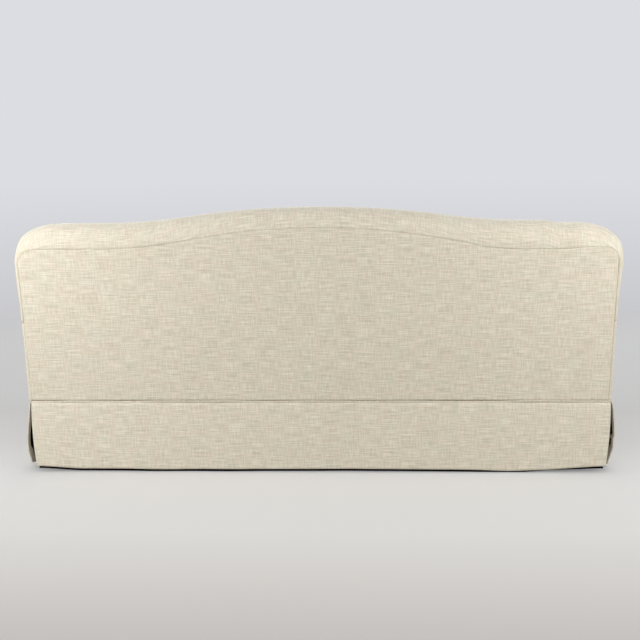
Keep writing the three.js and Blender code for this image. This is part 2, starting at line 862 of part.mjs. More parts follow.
function addSkirt() {
  const rear = rearFace(skirtTop) + skirtStandOff;
  const front = bodyFront - skirtStandOff;
  const side = sidePlane + skirtStandOff;
  const middle = (rear + front) / 2;
  const acrossLength = 2 * side - pleatGap;
  const sideLength = rear - front - pleatGap;
  const back = add("back_skirt", skirt(acrossLength, pleatBulgeAcross, pleatBulgeAcross), "linen");
  back.position.y = rear;
  const face = add("front_skirt", skirt(acrossLength, pleatBulgeAcross, pleatBulgeAcross), "linen");
  face.rotation.z = Math.PI;
  face.position.y = front;
  const right = add("right_skirt", skirt(sideLength, pleatBulgeRear, pleatBulgeFront), "linen");
  right.rotation.z = -Math.PI / 2;
  right.position.set(side, middle, 0);
  const left = add("left_skirt", skirt(sideLength, pleatBulgeFront, pleatBulgeRear), "linen");
  left.rotation.z = Math.PI / 2;
  left.position.set(-side, middle, 0);
  addUnderlays(side - sewnGap, front + sewnGap, rear - sewnGap);
}

// The folded cloth behind each corner where two skirts part.
function addUnderlays(side, front, rear) {
  const low = hemHeight + hemLift + underlayRise;
  for (const [name, hand] of hands) {
    for (const [end, y, way] of [
      ["front", front, 1],
      ["rear", rear, -1],
    ]) {
      const [outX, outY] = [hand * side, y];
      const [inX, inY] = [outX - hand * underlayThickness, outY + way * underlayThickness];
      const outline = [
        [outX, outY],
        [outX - hand * underlayLeg, outY],
        [outX - hand * underlayLeg, inY],
        [inX, inY],
        [inX, outY + way * underlayLeg],
        [outX, outY + way * underlayLeg],
      ];
      add(`${end}_${name}_pleat_underlay`, boardAlongZ(outline, low, skirtHang), "linen");
    }
  }
}

// The piped welt that runs round the sofa over the skirt, as one closed ring.
function addWelt() {
  const radius = weltDiameter / 2;
  const corners = [
    [sidePlane + weltStandOff, rearFace(skirtTop) + weltStandOff],
    [-sidePlane - weltStandOff, rearFace(skirtTop) + weltStandOff],
    [-sidePlane - weltStandOff, bodyFront - weltStandOff],
    [sidePlane + weltStandOff, bodyFront - weltStandOff],
  ];
  const positions = [];
  const faces = [];
  const count = corners.length;
  const centreY = (corners[0][1] + corners[count - 1][1]) / 2;
  for (const [x, y] of corners) {
    const [outX, outY] = [Math.sign(x), Math.sign(y - centreY)];
    for (let i = 0; i < weltSides; i++) {
      const angle = (2 * Math.PI * (i + 1 / 2)) / weltSides;
      const out = radius * Math.cos(angle);
      positions.push(x + outX * out, y + outY * out, skirtTop + radius * Math.sin(angle));
    }
  }
  for (let corner = 0; corner < count; corner++) {
    for (let i = 0; i < weltSides; i++) {
      const a = corner * weltSides + i;
      const b = corner * weltSides + ((i + 1) % weltSides);
      const [c, d] = [a, b].map((index) => (index + weltSides) % (count * weltSides));
      faces.push(a, d, c, a, b, d);
    }
  }
  if (signedVolume(positions, faces) < 0) faces.reverse();
  const geometry = new THREE.BufferGeometry();
  geometry.setAttribute("position", new THREE.Float32BufferAttribute(positions, 3));
  geometry.setIndex(faces);
  add("skirt_welt", geometry, "linen");
}

addSeatFrame();
addFeet();
addBackFrame();
addArmFrame();
addSprings();
addWebbing();
addSeatBase();
addCushions();
addBackCovers();
addArmCovers();
addSkirt();
addWelt();

export default sofa;
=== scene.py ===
"""The looks of a three-seat camelback sofa in oatmeal linen, seen from behind.

Metres, +Z up, front facing -Y. Left and right are those of someone who faces the sofa's front.
"""

from math import asin, atan, atan2, copysign, cos, exp, hypot, pi, radians, sin, sqrt

import bmesh
import bpy
from mathutils import Euler, Matrix, Vector, noise


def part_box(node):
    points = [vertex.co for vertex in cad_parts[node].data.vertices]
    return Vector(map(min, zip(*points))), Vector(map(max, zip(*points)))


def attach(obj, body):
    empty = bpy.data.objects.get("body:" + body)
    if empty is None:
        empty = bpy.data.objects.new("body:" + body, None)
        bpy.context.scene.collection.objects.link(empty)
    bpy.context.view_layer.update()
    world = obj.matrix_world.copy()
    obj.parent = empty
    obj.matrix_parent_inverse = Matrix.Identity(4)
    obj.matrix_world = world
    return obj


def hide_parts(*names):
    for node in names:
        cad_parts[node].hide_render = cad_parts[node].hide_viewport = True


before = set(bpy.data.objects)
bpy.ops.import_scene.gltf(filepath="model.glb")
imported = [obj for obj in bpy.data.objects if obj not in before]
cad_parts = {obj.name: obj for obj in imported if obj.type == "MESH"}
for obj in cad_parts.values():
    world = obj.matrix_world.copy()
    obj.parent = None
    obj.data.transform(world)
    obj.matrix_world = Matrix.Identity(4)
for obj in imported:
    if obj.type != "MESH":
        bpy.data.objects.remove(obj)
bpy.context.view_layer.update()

FRAME_BODY = "frame_and_covers"
WEAVE_MAP = "weave"  # UV map, in metres; each piece is cut from another place of the cloth
HANDS = (("right", 1), ("left", -1))

# Sofa
OVERALL_DEPTH = 0.940
BACK_HALF = 1.065
SIDE_PLANE = 1.0565  # outside arm panels
SIDE_LEAN = 0.0025  # the right arm is padded fuller than the left one
CREST = 0.965
SHOULDER = 0.912
DECK = 0.330
BODY_FRONT = -0.454
COVER_BOTTOM = 0.2650
WELT_HEIGHT = 0.2612
HEM = 0.0115
CROWN_HALF = 0.455
HOLLOW = 0.298
FIT = 0.0003
SEWN_GAP = 0.001
SEAM_GAP = 0.0001

# Back
REAR_SLOPE = 0.059 / 0.637
SEAM_CREST = 0.897
SEAM_TOP_HALF, SEAM_FOOT_HALF = 1.0454, 1.0505
LEFT_SEAM_IN = 0.0045
SEAM_SHOULDER = 0.827
SEAM_HALF = 1.046
SEAM_CORNER = 0.045
INNER_FOOT = 0.1202
INNER_SLOPE = 0.355
ROLL_RISE = 0.075
CORNER_WIDTH = 0.155
CORNER_HEIGHT = 0.0775
INNER_EDGE = 0.045
REAR_EDGE = 0.012
BACK_CROWN = 0.012
WING_BOTTOM = 0.5605
ARM_INNER = 0.890
SEAM_PULL = 0.0019

# Uneven places of the back, as [depth, from where, over how far]
LEFT_SHOULDER_DROP = (0.009, 0.79, 0.06)
LEFT_SEAM_DIP = (0.0085, 0.50, 0.09)
LEFT_DIP_END = (0.6, 0.86, 0.08)
SHOULDER_SWELL = (0.0030, 0.600, 0.120)
FOOT_SWELL = (0.0045, -0.50, 0.22)
RIGHT_SHOULDER_SWELL = (-0.0040, 0.78, 0.05)
LEFT_SHOULDER_SWELL = (0.0045, 0.70, 0.10)
SOFT_SEAM = (0.0013, 0.98, 0.04)

# Arms
ROLL_OUTSIDE = 1.080
ROLL_LINE = 0.560
ROLL_HEIGHT = 0.090
ROLL_CURL = 0.045
PAD_FRONT = -0.4457
PAD_BOTTOM = 0.2905
FACING_INSET = 0.005

# Cushions
CUSHION_BOTTOM = 0.3303
CUSHION_EDGE = 0.140
CUSHION_TOP = CUSHION_BOTTOM + CUSHION_EDGE
CUSHION_CROWN = 0.024
CUSHION_WELT = 0.0045
CUSHION_CORNER = 0.022
CUSHION_DRAW_IN = 0.005
CUSHION_TUCK = 0.006
CUSHION_BACK_GAP = 0.003
CUSHION_PITCH = (2 * ARM_INNER - 0.001) / 3
CUSHION_HALF = (CUSHION_PITCH - 0.001) / 2

# Skirt
SKIRT_TOP = 0.2585
SKIRT_REAR = 0.414
SKIRT_FRONT = -0.457
SKIRT_SIDE = 1.059
SKIRT_THICKNESS = 0.005
# how far the black lining hangs below the hem: the black strip it shows there is painted shade
# under the skirt
LINING_DROP = 0.0092
PLEAT_REACH = 0.170
PLEAT_GAP = 0.006
UNDERLAY_FOOT = 0.027
WELT_RADIUS = 0.0032
KINK_FROM, KINK_RUN, SWING_FROM = 0.53, 0.05, 0.74  # shares of the way down
END_REACH, END_DRAW, END_BOW = 0.22, 0.0110, 0.004
DROOPS = ((0.56, 0.0025, 0.10), (-0.70, 0.0048, 0.10))  # the rear hem's: place, depth, width
LINING_RISES = ((-0.84, 0.0055, 0.09), (0.45, -0.0015, 0.15))

# Camera, fitted to the photograph's seams and outline
CAMERA_PLACE = (-0.127, 3.489, 1.181)
CAMERA_PITCH, CAMERA_YAW, CAMERA_ROLL = 11.35, 2.14, -0.63
CAMERA_LENS = 49.5

# Floor shades along Y, painted shade: it darkens toward the wall and toward the camera. The glow
# makes it look paler without lighting the sofa more.
FLOOR_HALF = 9
FLOOR_GLOW = 0.185
FLOOR_PAINTED_SHADES = (
    (-0.30, "#bfbfbf"),
    (0.10, "#d2d2d4"),
    (0.45, "#e9e9e9"),
    (0.60, "#ecebeb"),
    (0.95, "#e8e8e7"),
    (1.24, "#dcd8d5"),
    (1.65, "#bdb8b4"),
)
FLOOR_FADES = (("Y", 1.6, 3.0), ("X", 3.0, 5.0))  # from where to where it turns clear

# Studio light from the horizon to overhead, and the wall by the height that a ray points at, with
# painted shade that darkens it toward the floor
TENT_SHADES = ((0.0, "#f6f6f6"), (1.0, "#cfcfcf"))
TENT_STRENGTH = 0.905
WALL_SHADES = ((-0.20, "#c6c6ca"), (-0.04, "#dcdde2"))

# Lamps: place, what it points at, size, watts, and whether flags keep it off the floor
LAMPS = (
    ("side_right", (2.3, 1.6, 1.0), (0.75, 0.4, 0.6), (1.2, 1.2), 11, True),
    ("side_left", (-2.3, 1.6, 1.0), (-0.75, 0.4, 0.6), (1.2, 1.2), 4, True),
    ("shoulder_right", (1.55, 1.2, 1.35), (0.9, 0.42, 0.85), (0.5, 0.5), 7.3, True),
    ("shoulder_left", (-1.55, 1.2, 1.35), (-0.9, 0.42, 0.85), (0.5, 0.5), 6.3, True),
    ("softbox_rear", (0, 3.8, 0.7), (0, 0.45, 0.45), (3.0, 0.8), 5.8, True),
    ("softbox_front", (0, -3.2, 2.2), (0, 0, 0.4), (2.4, 1.4), 20, False),
)

# Linen. Real slubs are about 1 mm thick; they are drawn at 4 mm so that they show from a step
# away. Each has its size along the weft and the warp, and its strength.
SLUBS = (((0.070, 0.0034), 0.6), ((0.0044, 0.042), 0.4))
HEATHER_SCALE = 16.0  # patches about 60 mm across
YARN_SCALE = 142.8  # yarns 2.2 mm apart, crossing over and under
WAVE_LENGTH = 0.314  # between the bands of a wave texture at scale 1


def ease(share):
    t = min(max(share, 0.0), 1.0)
    return t * t * (3 - 2 * t)


def grow(place, depth, start, run):
    """Grows from nothing at a start to the full depth a run past it."""
    return depth * ease((place - start) / run)


def toward_ends(share, pull):
    """Moves evenly spread shares closer together near both ends."""
    return share - pull * sin(2 * pi * share) / (2 * pi)


def rounded_drop(before_end, along, down):
    """How far a rounded edge has fallen back, a given way before the end of a face."""
    share = 1 - min(max(before_end, 0), along) / along
    return down * (1 - sqrt(1 - share * share))


def rear_face(z):
    return OVERALL_DEPTH / 2 - REAR_SLOPE * (SEAM_CREST - z)


def inner_face(z):
    return INNER_FOOT + INNER_SLOPE * (z - DECK)


def camel_line(x, side, crest):
    """A round arc over the middle that turns into a hollow arc out to the shoulder."""
    reach = CROWN_HALF + HOLLOW
    turn = 2 * atan((crest - side) / reach)
    crown, hollow = CROWN_HALF / sin(turn), HOLLOW / sin(turn)
    out = abs(x)
    if out < CROWN_HALF:
        return crest - crown + sqrt(crown**2 - out**2)
    if out < reach:
        return side + hollow - sqrt(hollow**2 - (reach - out) ** 2)
    return side


def bell(x, centre, width):
    return exp(-(((x - centre) / width) ** 2))


def top_line(station):
    """The back's upper edge. The left shoulder has settled a little lower."""
    drop = rounded_drop(BACK_HALF - abs(station), CORNER_WIDTH, CORNER_HEIGHT)
    return camel_line(station, SHOULDER, CREST) - drop - grow(-station, *LEFT_SHOULDER_DROP)


def seam_line(x):
    """The back seam's upper run, which dips on the left."""
    dip = grow(-x, *LEFT_SEAM_DIP) * (1 - grow(-x, *LEFT_DIP_END))
    return camel_line(x, SEAM_SHOULDER, SEAM_CREST) - dip


def side_edge(z, hand=0):
    """Half the sofa's width at a height, full at the shoulders and towards the skirt."""
    full = grow(z, *SHOULDER_SWELL) + grow(-z, *FOOT_SWELL)
    full += grow(z, *(RIGHT_SHOULDER_SWELL if hand > 0 else LEFT_SHOULDER_SWELL))
    return SIDE_PLANE + full + hand * SIDE_LEAN


def flare_out(x, z):
    """Widens the back toward its foot, as its side seams do."""
    share = (SEAM_SHOULDER - z) / (SEAM_SHOULDER - COVER_BOTTOM)
    half = SEAM_TOP_HALF + (SEAM_FOOT_HALF - SEAM_TOP_HALF) * share
    return x * (half - (LEFT_SEAM_IN if x < 0 else 0)) / SEAM_HALF


def seam_inset(x, z):
    """How far a point of the rear face lies inside the back seam, below zero outside it."""
    out, down = SEAM_HALF - abs(x), seam_line(x) - z
    if out < SEAM_CORNER and down < SEAM_CORNER:
        return SEAM_CORNER - hypot(SEAM_CORNER - out, SEAM_CORNER - down)
    return min(out, down)


def seam_pull(x):
    """How deep the stitches of the back seam pull the cloth in. Its right side is the softest."""
    return SEAM_PULL - grow(x, *SOFT_SEAM)


def ripple(x, z, length, depth, seed=0.0):
    """Slack in a stretched cover: soft hollows of a given length and depth."""
    return depth * noise.noise(Vector((x / length, z / length, seed)))


def pucker(along, inset, reach=0.028, depth=0.0016, length=0.024):
    """Small gathers that the stitches pull in beside a seam."""
    fade = exp(-abs(inset) / reach)
    return depth * fade * noise.noise(Vector((along / length, abs(inset) / 0.09, 3.7)))


def cloth(columns, rows, place, cut, outward=None):
    """A grid of cloth bent to shape: place gives the point and cut the flat cloth's point for
    each share across and along. It faces outward."""
    bm = bmesh.new()
    bmesh.ops.create_grid(bm, x_segments=columns, y_segments=rows, size=0.5)
    weave = bm.loops.layers.uv.new(WEAVE_MAP)
    for face in bm.faces:
        for loop in face.loops:
            spot = loop.vert.co
            loop[weave].uv = cut(spot.x + 0.5, spot.y + 0.5)
    for vert in bm.verts:
        vert.co = place(vert.co.x + 0.5, vert.co.y + 0.5)
    if outward:
        face_out(bm, outward)
    return bm


def rectangle(width, length, over=0, up=0):
    """The flat cut of a plain rectangle, with its place on the cloth."""
    return lambda across, along: (across * width + over, along * length + up)


def face_out(bm, outward):
    """Turns an open piece of cloth over if it faces away from a direction."""
    bm.normal_update()
    facing = sum((face.normal * face.calc_area() for face in bm.faces), Vector())
    if facing.dot(Vector(outward)) < 0:
        bmesh.ops.reverse_faces(bm, faces=bm.faces)


def weld(bm):
    bmesh.ops.remove_doubles(bm, verts=bm.verts, dist=1e-5)
    bmesh.ops.recalc_face_normals(bm, faces=bm.faces)


def new_mesh(name, bm, material):
    mesh = bpy.data.meshes.new(name)
    bm.to_mesh(mesh)
    bm.free()
    mesh.materials.append(material)
    return mesh


def add_object(name, data):
    """Puts a mesh, a lamp or a camera into the scene."""
    made = bpy.data.objects.new(name, data)
    bpy.context.scene.collection.objects.link(made)
    return made


def make_piece(name, bm, material, nodes=(), body=FRAME_BODY, slot="linen", thickness=None):
    piece = add_object(name, new_mesh(name, bm, material))
    piece.data.shade_smooth()
    if thickness:
        wall = piece.modifiers.new("thickness", "SOLIDIFY")
        wall.thickness = thickness
        wall.offset = -1
    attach(piece, body)
    if nodes:
        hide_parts(*nodes)
    return piece


def piping(points, radius, flat, closed, sides=10):
    """Welt cord covered in bias-cut cloth along a path that keeps near one plane."""
    count = len(points)
    steps = count if closed else count - 1
    lengths = [0.0]
    for i in range(steps):
        lengths.append(lengths[-1] + (points[(i + 1) % count] - points[i]).length)

    def place(along, around):
        i = round(along * steps)
        low, high = (i - 1, i + 1) if closed else (max(i - 1, 0), min(i + 1, count - 1))
        tangent = (points[high % count] - points[low % count]).normalized()
        out = tangent.cross(flat).normalized()
        up = out.cross(tangent)
        angle = 2 * pi * around
        return points[i % count] + radius * (out * cos(angle) + up * sin(angle))

    def cut(along, around):
        length, girth = lengths[round(along * steps)], 2 * pi * radius * around
        return (length + girth) * sqrt(0.5), (girth - length) * sqrt(0.5)

    bm = cloth(steps, sides, place, cut)
    weld(bm)
    if not closed:
        edges = [edge for edge in bm.edges if edge.is_boundary]
        bmesh.ops.holes_fill(bm, edges=edges, sides=0)
        bmesh.ops.recalc_face_normals(bm, faces=bm.faces)
    return bm


# Materials


def linear(colour):
    """An sRGB hex colour as linear values."""
    channels = [int(colour[i : i + 2], 16) / 255 for i in (1, 3, 5)]
    return (*[c / 12.92 if c <= 0.04045 else ((c + 0.055) / 1.055) ** 2.4 for c in channels], 1.0)


def feed(tree, node, links):
    """Joins sockets, or nodes by their first output, to a node's inputs."""
    for key, source in links.items():
        tree.links.new(getattr(source, "outputs", [source])[0], node.inputs[key])


def add_node(tree, kind, values=None, links=None, stops=(), **settings):
    """Adds a node with its settings, its inputs' values, what feeds it, and a ramp's stops as
    [position, colour]."""
    made = tree.nodes.new(f"ShaderNode{kind}")
    for key, value in settings.items():
        setattr(made, key, value)
    for key, value in (values or {}).items():
        made.inputs[key].default_value = value
    feed(tree, made, links or {})
    if stops:
        ramp = made.color_ramp.elements
        ramp[0].position, ramp[1].position = stops[0][0], stops[-1][0]
        for position, _ in stops[1:-1]:
            ramp.new(position)
        for stop, (_, colour) in zip(ramp, stops):
            stop.color = linear(colour)
    return made


def new_material(name, values):
    material = bpy.data.materials.new(name)
    material.use_nodes = True
    shader = material.node_tree.nodes["Principled BSDF"]
    for key, value in values.items():
        shader.inputs[key].default_value = value
    return material, material.node_tree, shader


def linen():
    """Plain-weave linen look upholstery. Slubs, thick places in the yarn, show as light and dark
    streaks along both yarns, longer along the weft; heather in the yarn tints it in patches, and
    its fuzz turns pale where it is seen along the surface."""
    material, tree, shader = new_material(
        "linen_plain_weave", {"Roughness": 0.92, "Sheen Weight": 0.65, "Sheen Roughness": 0.35}
    )
    flat = add_node(tree, "UVMap", uv_map=WEAVE_MAP)
    mottle = {"Detail": 2.0, "Roughness": 0.6}
    streaks = {}
    for i, (size, strength) in enumerate(SLUBS):
        scale = {"Scale": (1 / size[0], 1 / size[1], 1)}
        spread = add_node(tree, "Mapping", scale, {"Vector": flat})
        scale = {"Scale": 1.0, **mottle}
        slub = add_node(tree, "TexNoise", scale, {"Vector": spread}, noise_dimensions="2D")
        streaks[i] = add_node(tree, "Math", {1: strength}, {0: slub}, operation="MULTIPLY")
    both = add_node(tree, "Math", links=streaks, operation="ADD")
    level = add_node(tree, "MapRange", {"From Min": 0.33, "From Max": 0.67}, {"Value": both})
    shades = ((0.0, "#bfb7a2"), (0.5, "#d8cfbb"), (1.0, "#eee8d8"))
    yarn = add_node(tree, "ValToRGB", links={"Fac": level}, stops=shades)
    scale = {"Scale": HEATHER_SCALE, **mottle}
    heather = add_node(tree, "TexNoise", scale, {"Vector": flat}, noise_dimensions="2D")
    shades = ((0.32, "#dacab9"), (0.5, "#d8cfbb"), (0.68, "#d0d0be"))
    tints = add_node(tree, "ValToRGB", links={"Fac": heather}, stops=shades)
    tinted = add_node(tree, "Mix", {"Factor": 0.30}, {"A": yarn, "B": tints}, data_type="RGBA")
    colour = next(socket for socket in tinted.outputs if socket.type == "RGBA")
    wave = {"Scale": YARN_SCALE, "Distortion": 1.6, "Detail": 2.0, "Detail Scale": 0.6}
    threads = crossing_threads(tree, wave, flat, "XY")
    crossing = add_node(tree, "Math", links=threads, operation="MULTIPLY")
    height = add_node(tree, "Math", links={0: crossing, 1: both}, operation="ADD")
    bump = add_node(tree, "Bump", {"Strength": 0.35, "Distance": 0.0006}, {"Height": height})
    feed(tree, shader, {"Base Color": colour, "Normal": bump})
    return material


def crossing_threads(tree, values, place, directions):
    """Waves for the warp and the weft."""
    threads = {}
    for i, way in enumerate(directions):
        wave = add_node(tree, "TexWave", values, {"Vector": place}, bands_direction=way)
        threads[i] = wave.outputs["Fac"]
    return threads


def timber(name, grain, light, dark, values):
    """Planed, flat-sawn hardwood. Its figure runs along the board in bands about 27 mm wide with
    finer streaks inside them, broken by fine pores."""
    material, tree, shader = new_material(name, values)
    place = add_node(tree, "TexCoord").outputs["Object"]
    stretch = [14.0 if axis != grain else 1.1 for axis in "XYZ"]
    spread = add_node(tree, "Mapping", {"Scale": stretch}, {"Vector": place})
    band = {"Scale": 2.6, "Detail": 4.0, "Roughness": 0.55, "Distortion": 0.8}
    bands = add_node(tree, "TexNoise", band, {"Vector": spread})
    pore = {"Scale": 42.0, "Detail": 2.0, "Roughness": 0.7}
    pores = add_node(tree, "TexNoise", pore, {"Vector": spread})
    shades = ((0.36, dark), (0.64, light))
    colours = add_node(tree, "ValToRGB", links={"Fac": bands}, stops=shades)
    bump = add_node(tree, "Bump", {"Strength": 0.25, "Distance": 0.0004}, {"Height": pores})
    feed(tree, shader, {"Base Color": colours, "Normal": bump})
    return material


def woven(name, dark, light, pitch, coordinates, values):
    """Coarse plain cloth: dark gaps between yarns that cross at a pitch."""
    material, tree, shader = new_material(name, values)
    if coordinates == "UV":
        place, directions = add_node(tree, "UVMap", uv_map=WEAVE_MAP), "XY"
    else:
        place, directions = add_node(tree, "TexCoord").outputs["Object"], "XZ"
    wave = {"Scale": WAVE_LENGTH / pitch, "Distortion": 1.2, "Detail": 2.0, "Detail Scale": 0.5}
    threads = crossing_threads(tree, wave, place, directions)
    crossing = add_node(tree, "Math", links=threads, operation="ADD")
    level = add_node(tree, "MapRange", {"From Max": 2.0}, {"Value": crossing})
    shades = ((0.0, dark), (1.0, light))
    colours = add_node(tree, "ValToRGB", links={"Fac": level}, stops=shades)
    bump = add_node(tree, "Bump", {"Strength": 0.4, "Distance": 0.0005}, {"Height": level})
    feed(tree, shader, {"Base Color": colours, "Normal": bump})
    return material


def spring_wire():
    """Oil-tempered wire: dark, with a broken sheen."""
    material, tree, shader = new_material("oil_tempered_wire", {"Metallic": 1.0})
    place = add_node(tree, "TexCoord").outputs["Object"]
    marks = add_node(tree, "TexNoise", {"Scale": 180.0, "Detail": 2.0}, {"Vector": place})
    rough = add_node(tree, "MapRange", {"To Min": 0.28, "To Max": 0.55}, {"Value": marks})
    shades = ((0.0, "#4d4f52"), (1.0, "#8d9094"))
    colours = add_node(tree, "ValToRGB", links={"Fac": marks}, stops=shades)
    feed(tree, shader, {"Roughness": rough, "Base Color": colours})
    return material


LINEN = linen()
DECK_CLOTH = woven("cotton_decking", "#cfc6b0", "#ece5d4", 0.0016, "UV", {"Roughness": 0.95})
DUST_CLOTH = woven("spunbond_dust_cloth", "#161616", "#2c2c2d", 0.0024, "UV", {"Roughness": 0.9})
DULL_BLACK = {"Roughness": 0.95, "Specular IOR Level": 0.1}
# Black skirt lining: a real lining, whose black also stands in as painted shade under the hem and
# in the corner pleats.
BLACK_LINING_SHADE = woven("black_lining_painted_shade", "#050404", "#0c0b0a", 0.0020, "UV", DULL_BLACK)
JUTE = woven("jute_webbing", "#86683f", "#bfa377", 0.0032, "Object", {"Roughness": 0.93})
WIRE = spring_wire()
HARDWOOD = {
    axis: timber(f"planed_hardwood_{axis}", axis, "#c9a06c", "#a97c4c", {"Roughness": 0.68})
    for axis in "XYZ"
}
STAIN = {"Roughness": 0.45, "Coat Weight": 0.3, "Coat Roughness": 0.25}
STAINED = timber("stained_hardwood", "Z", "#5a3e2b", "#35231a", STAIN)


# Back


def panel_top(x):
    """The back seam's height, round its upper corners too."""
    out = abs(x) - (SEAM_HALF - SEAM_CORNER)
    side = seam_line(x)
    if out <= 0:
        return side
    return side - SEAM_CORNER + sqrt(max(SEAM_CORNER**2 - out**2, 0))


def add_outside_back():
    """Outside back: one panel pulled tight, which puffs out a little inside its seam."""
    half = SEAM_HALF - SEAM_GAP
    bottom = COVER_BOTTOM

    def spot(across, up):
        x = half * (2 * toward_ends(across, 0.62) - 1)
        top = panel_top(x) - SEAM_GAP
        return x, bottom + toward_ends(up, 0.7) * (top - bottom)

    def place(across, up):
        x, z = spot(across, up)
        inset = seam_inset(x, z)
        y = rear_face(z) - rounded_drop(inset, 0.012, seam_pull(x))
        y -= rounded_drop(z - bottom, 0.010, 0.002)
        y += pucker(x + z, inset) * ease(inset / 0.006)
        y += ripple(x, z * 1.4, 0.34, 0.0022) * ease(inset / 0.05)
        return flare_out(x, z), y, z

    bm = cloth(300, 110, place, spot, (0, 1, 0))
    panel = make_piece("outside_back_panel", bm, LINEN, ["outside_back"], thickness=0.003)


def add_inside_back():
    """Inside back: the cover climbs the inside, rolls over the camel line and the shoulders, and
    ends in the back seam and at the boxed ends."""
    inner_columns, outer_columns = 260, 7
    columns = inner_columns + 2 * outer_columns
    front_rows, over_rows, strip_rows = 46, 46, 16
    rows = front_rows + over_rows + strip_rows
    seam_row = front_rows + over_rows
    seam_drops = {
        hand: top_line(hand * SEAM_HALF) - ROLL_RISE - panel_top(hand * SEAM_HALF)
        for _, hand in HANDS
    }

    def station(across):
        i = round(across * columns) - outer_columns
        if 0 <= i <= inner_columns:
            return SEAM_HALF * (2 * toward_ends(i / inner_columns, 0.55) - 1)
        beyond = -i if i < 0 else i - inner_columns
        share = sin(beyond / outer_columns * pi / 2)
        return copysign(SEAM_HALF + (BACK_HALF - SEAM_HALF) * share, i)

    def route(nominal, up):
        """The cover's [y, z] at a station, its length so far and whether it faces the rear."""
        i = round(up * rows)
        spring = top_line(nominal) - ROLL_RISE
        front_drop = rounded_drop(BACK_HALF - abs(nominal), INNER_EDGE, INNER_EDGE)
        rear_drop = rounded_drop(BACK_HALF - abs(nominal), REAR_EDGE, REAR_EDGE)
        inner = inner_face(spring) + front_drop
        rear = rear_face(spring) - rear_drop
        if i <= front_rows:
            z = CUSHION_BOTTOM + (spring - CUSHION_BOTTOM) * i / front_rows
            crown = BACK_CROWN * max(0.0, 1 - (nominal / ARM_INNER) ** 2)
            rise = max(0.0, z - CUSHION_TOP) / (spring - CUSHION_TOP)
            return inner_face(z) + front_drop - crown * sin(pi * rise), z, z, False
        outer = abs(nominal) > SEAM_HALF
        hand = copysign(1, nominal)
        seam = spring - seam_drops[hand] if outer else panel_top(nominal) + SEAM_GAP
        end = pi - asin(min(max((seam - spring) / ROLL_RISE, 0.0), 0.98))
        radius = (ROLL_RISE + (rear - inner) / 2) / 2
        roll, fall = radius * end, max(spring - seam, 0.0)
        if i > seam_row:
            z = seam + (WING_BOTTOM - seam) * (i - seam_row) / strip_rows
            return rear_face(z) - rear_drop, z, spring + roll + spring - z, True
        length = (1 - (1 - (i - front_rows) / over_rows) ** 1.35) * (roll + fall)
        if length > roll:
            z = spring - (length - roll)
            return rear_face(z) - rear_drop, z, spring + length, True
        angle = length / radius
        y = (inner + rear) / 2 - (rear - inner) / 2 * cos(angle)
        return y, spring + ROLL_RISE * sin(angle), spring + length, angle > pi / 2

    def place(across, up):
        nominal = station(across)
        y, z, _, faces_rear = route(nominal, up)
        x = nominal
        y += ripple(x, z, 0.24, 0.0016, 5.0)
        if faces_rear:
            outset = -seam_inset(x, z)
            y -= rounded_drop(outset, 0.009, seam_pull(x))
            y += pucker(x + z, outset) * ease(outset / 0.004)
            y -= ease_crease(x, z, outset)
        hand = copysign(1, nominal)
        reach = max(abs(nominal) - SEAM_HALF, 0.0) / (BACK_HALF - SEAM_HALF)
        inner = abs(flare_out(hand * min(abs(nominal), SEAM_HALF), z))
        return hand * (inner + (side_edge(z, hand) - inner) * reach), y, z

    def cut(across, up):
        nominal = station(across)
        return nominal, route(nominal, up)[2] + 1.3

    bm = cloth(columns, rows, place, cut, (0, -1, 0.4))
    # The outside back's place is left open, and so is the place of the arms.
    for side in (1, -1):
        cut_flat(bm, bm.faces, (side * (ARM_INNER - SEWN_GAP), 0, 0), (1, 0, 0))
    cut_flat(bm, [f for f in bm.faces if beyond_seat(f)], (0, 0, WING_BOTTOM), (0, 0, 1))
    unused = []
    for face in bm.faces:
        x, y, z = face.calc_center_median()
        unflared = x * SEAM_HALF / abs(flare_out(copysign(SEAM_HALF, x), z))
        behind = y > rear_face(z) - 0.03 and seam_inset(unflared, z) > 0
        if behind or (beyond_seat(face) and z < WING_BOTTOM):
            unused.append(face)
    bmesh.ops.delete(bm, geom=unused, context="FACES")
    cover = make_piece("inside_back_cover", bm, LINEN, ["inside_back"], thickness=0.004)
    for name, hand in HANDS:
        add_back_end(name, hand)


def ease_crease(x, z, outset):
    """Creases where the cloth is eased round the back seam's upper corners: one along the seam on
    the left and an upright one on the right."""
    depth = 0.0010
    along = bell(outset, 0.015, 0.0035) * ease((0.10 - abs(x + 0.93)) / 0.03)
    upright = bell(x, 1.005, 0.004) * ease((0.030 - abs(z - 0.860)) / 0.015)
    return depth * along + depth * upright


def beyond_seat(face):
    return abs(face.calc_center_median().x) > ARM_INNER - SEWN_GAP


def cut_flat(bm, faces, point, normal):
    """Cuts faces along a plane and keeps both sides."""
    part = set(faces)
    part |= {e for f in faces for e in f.edges} | {v for f in faces for v in f.verts}
    bmesh.ops.bisect_plane(bm, geom=list(part), dist=1e-6, plane_co=point, plane_no=normal)


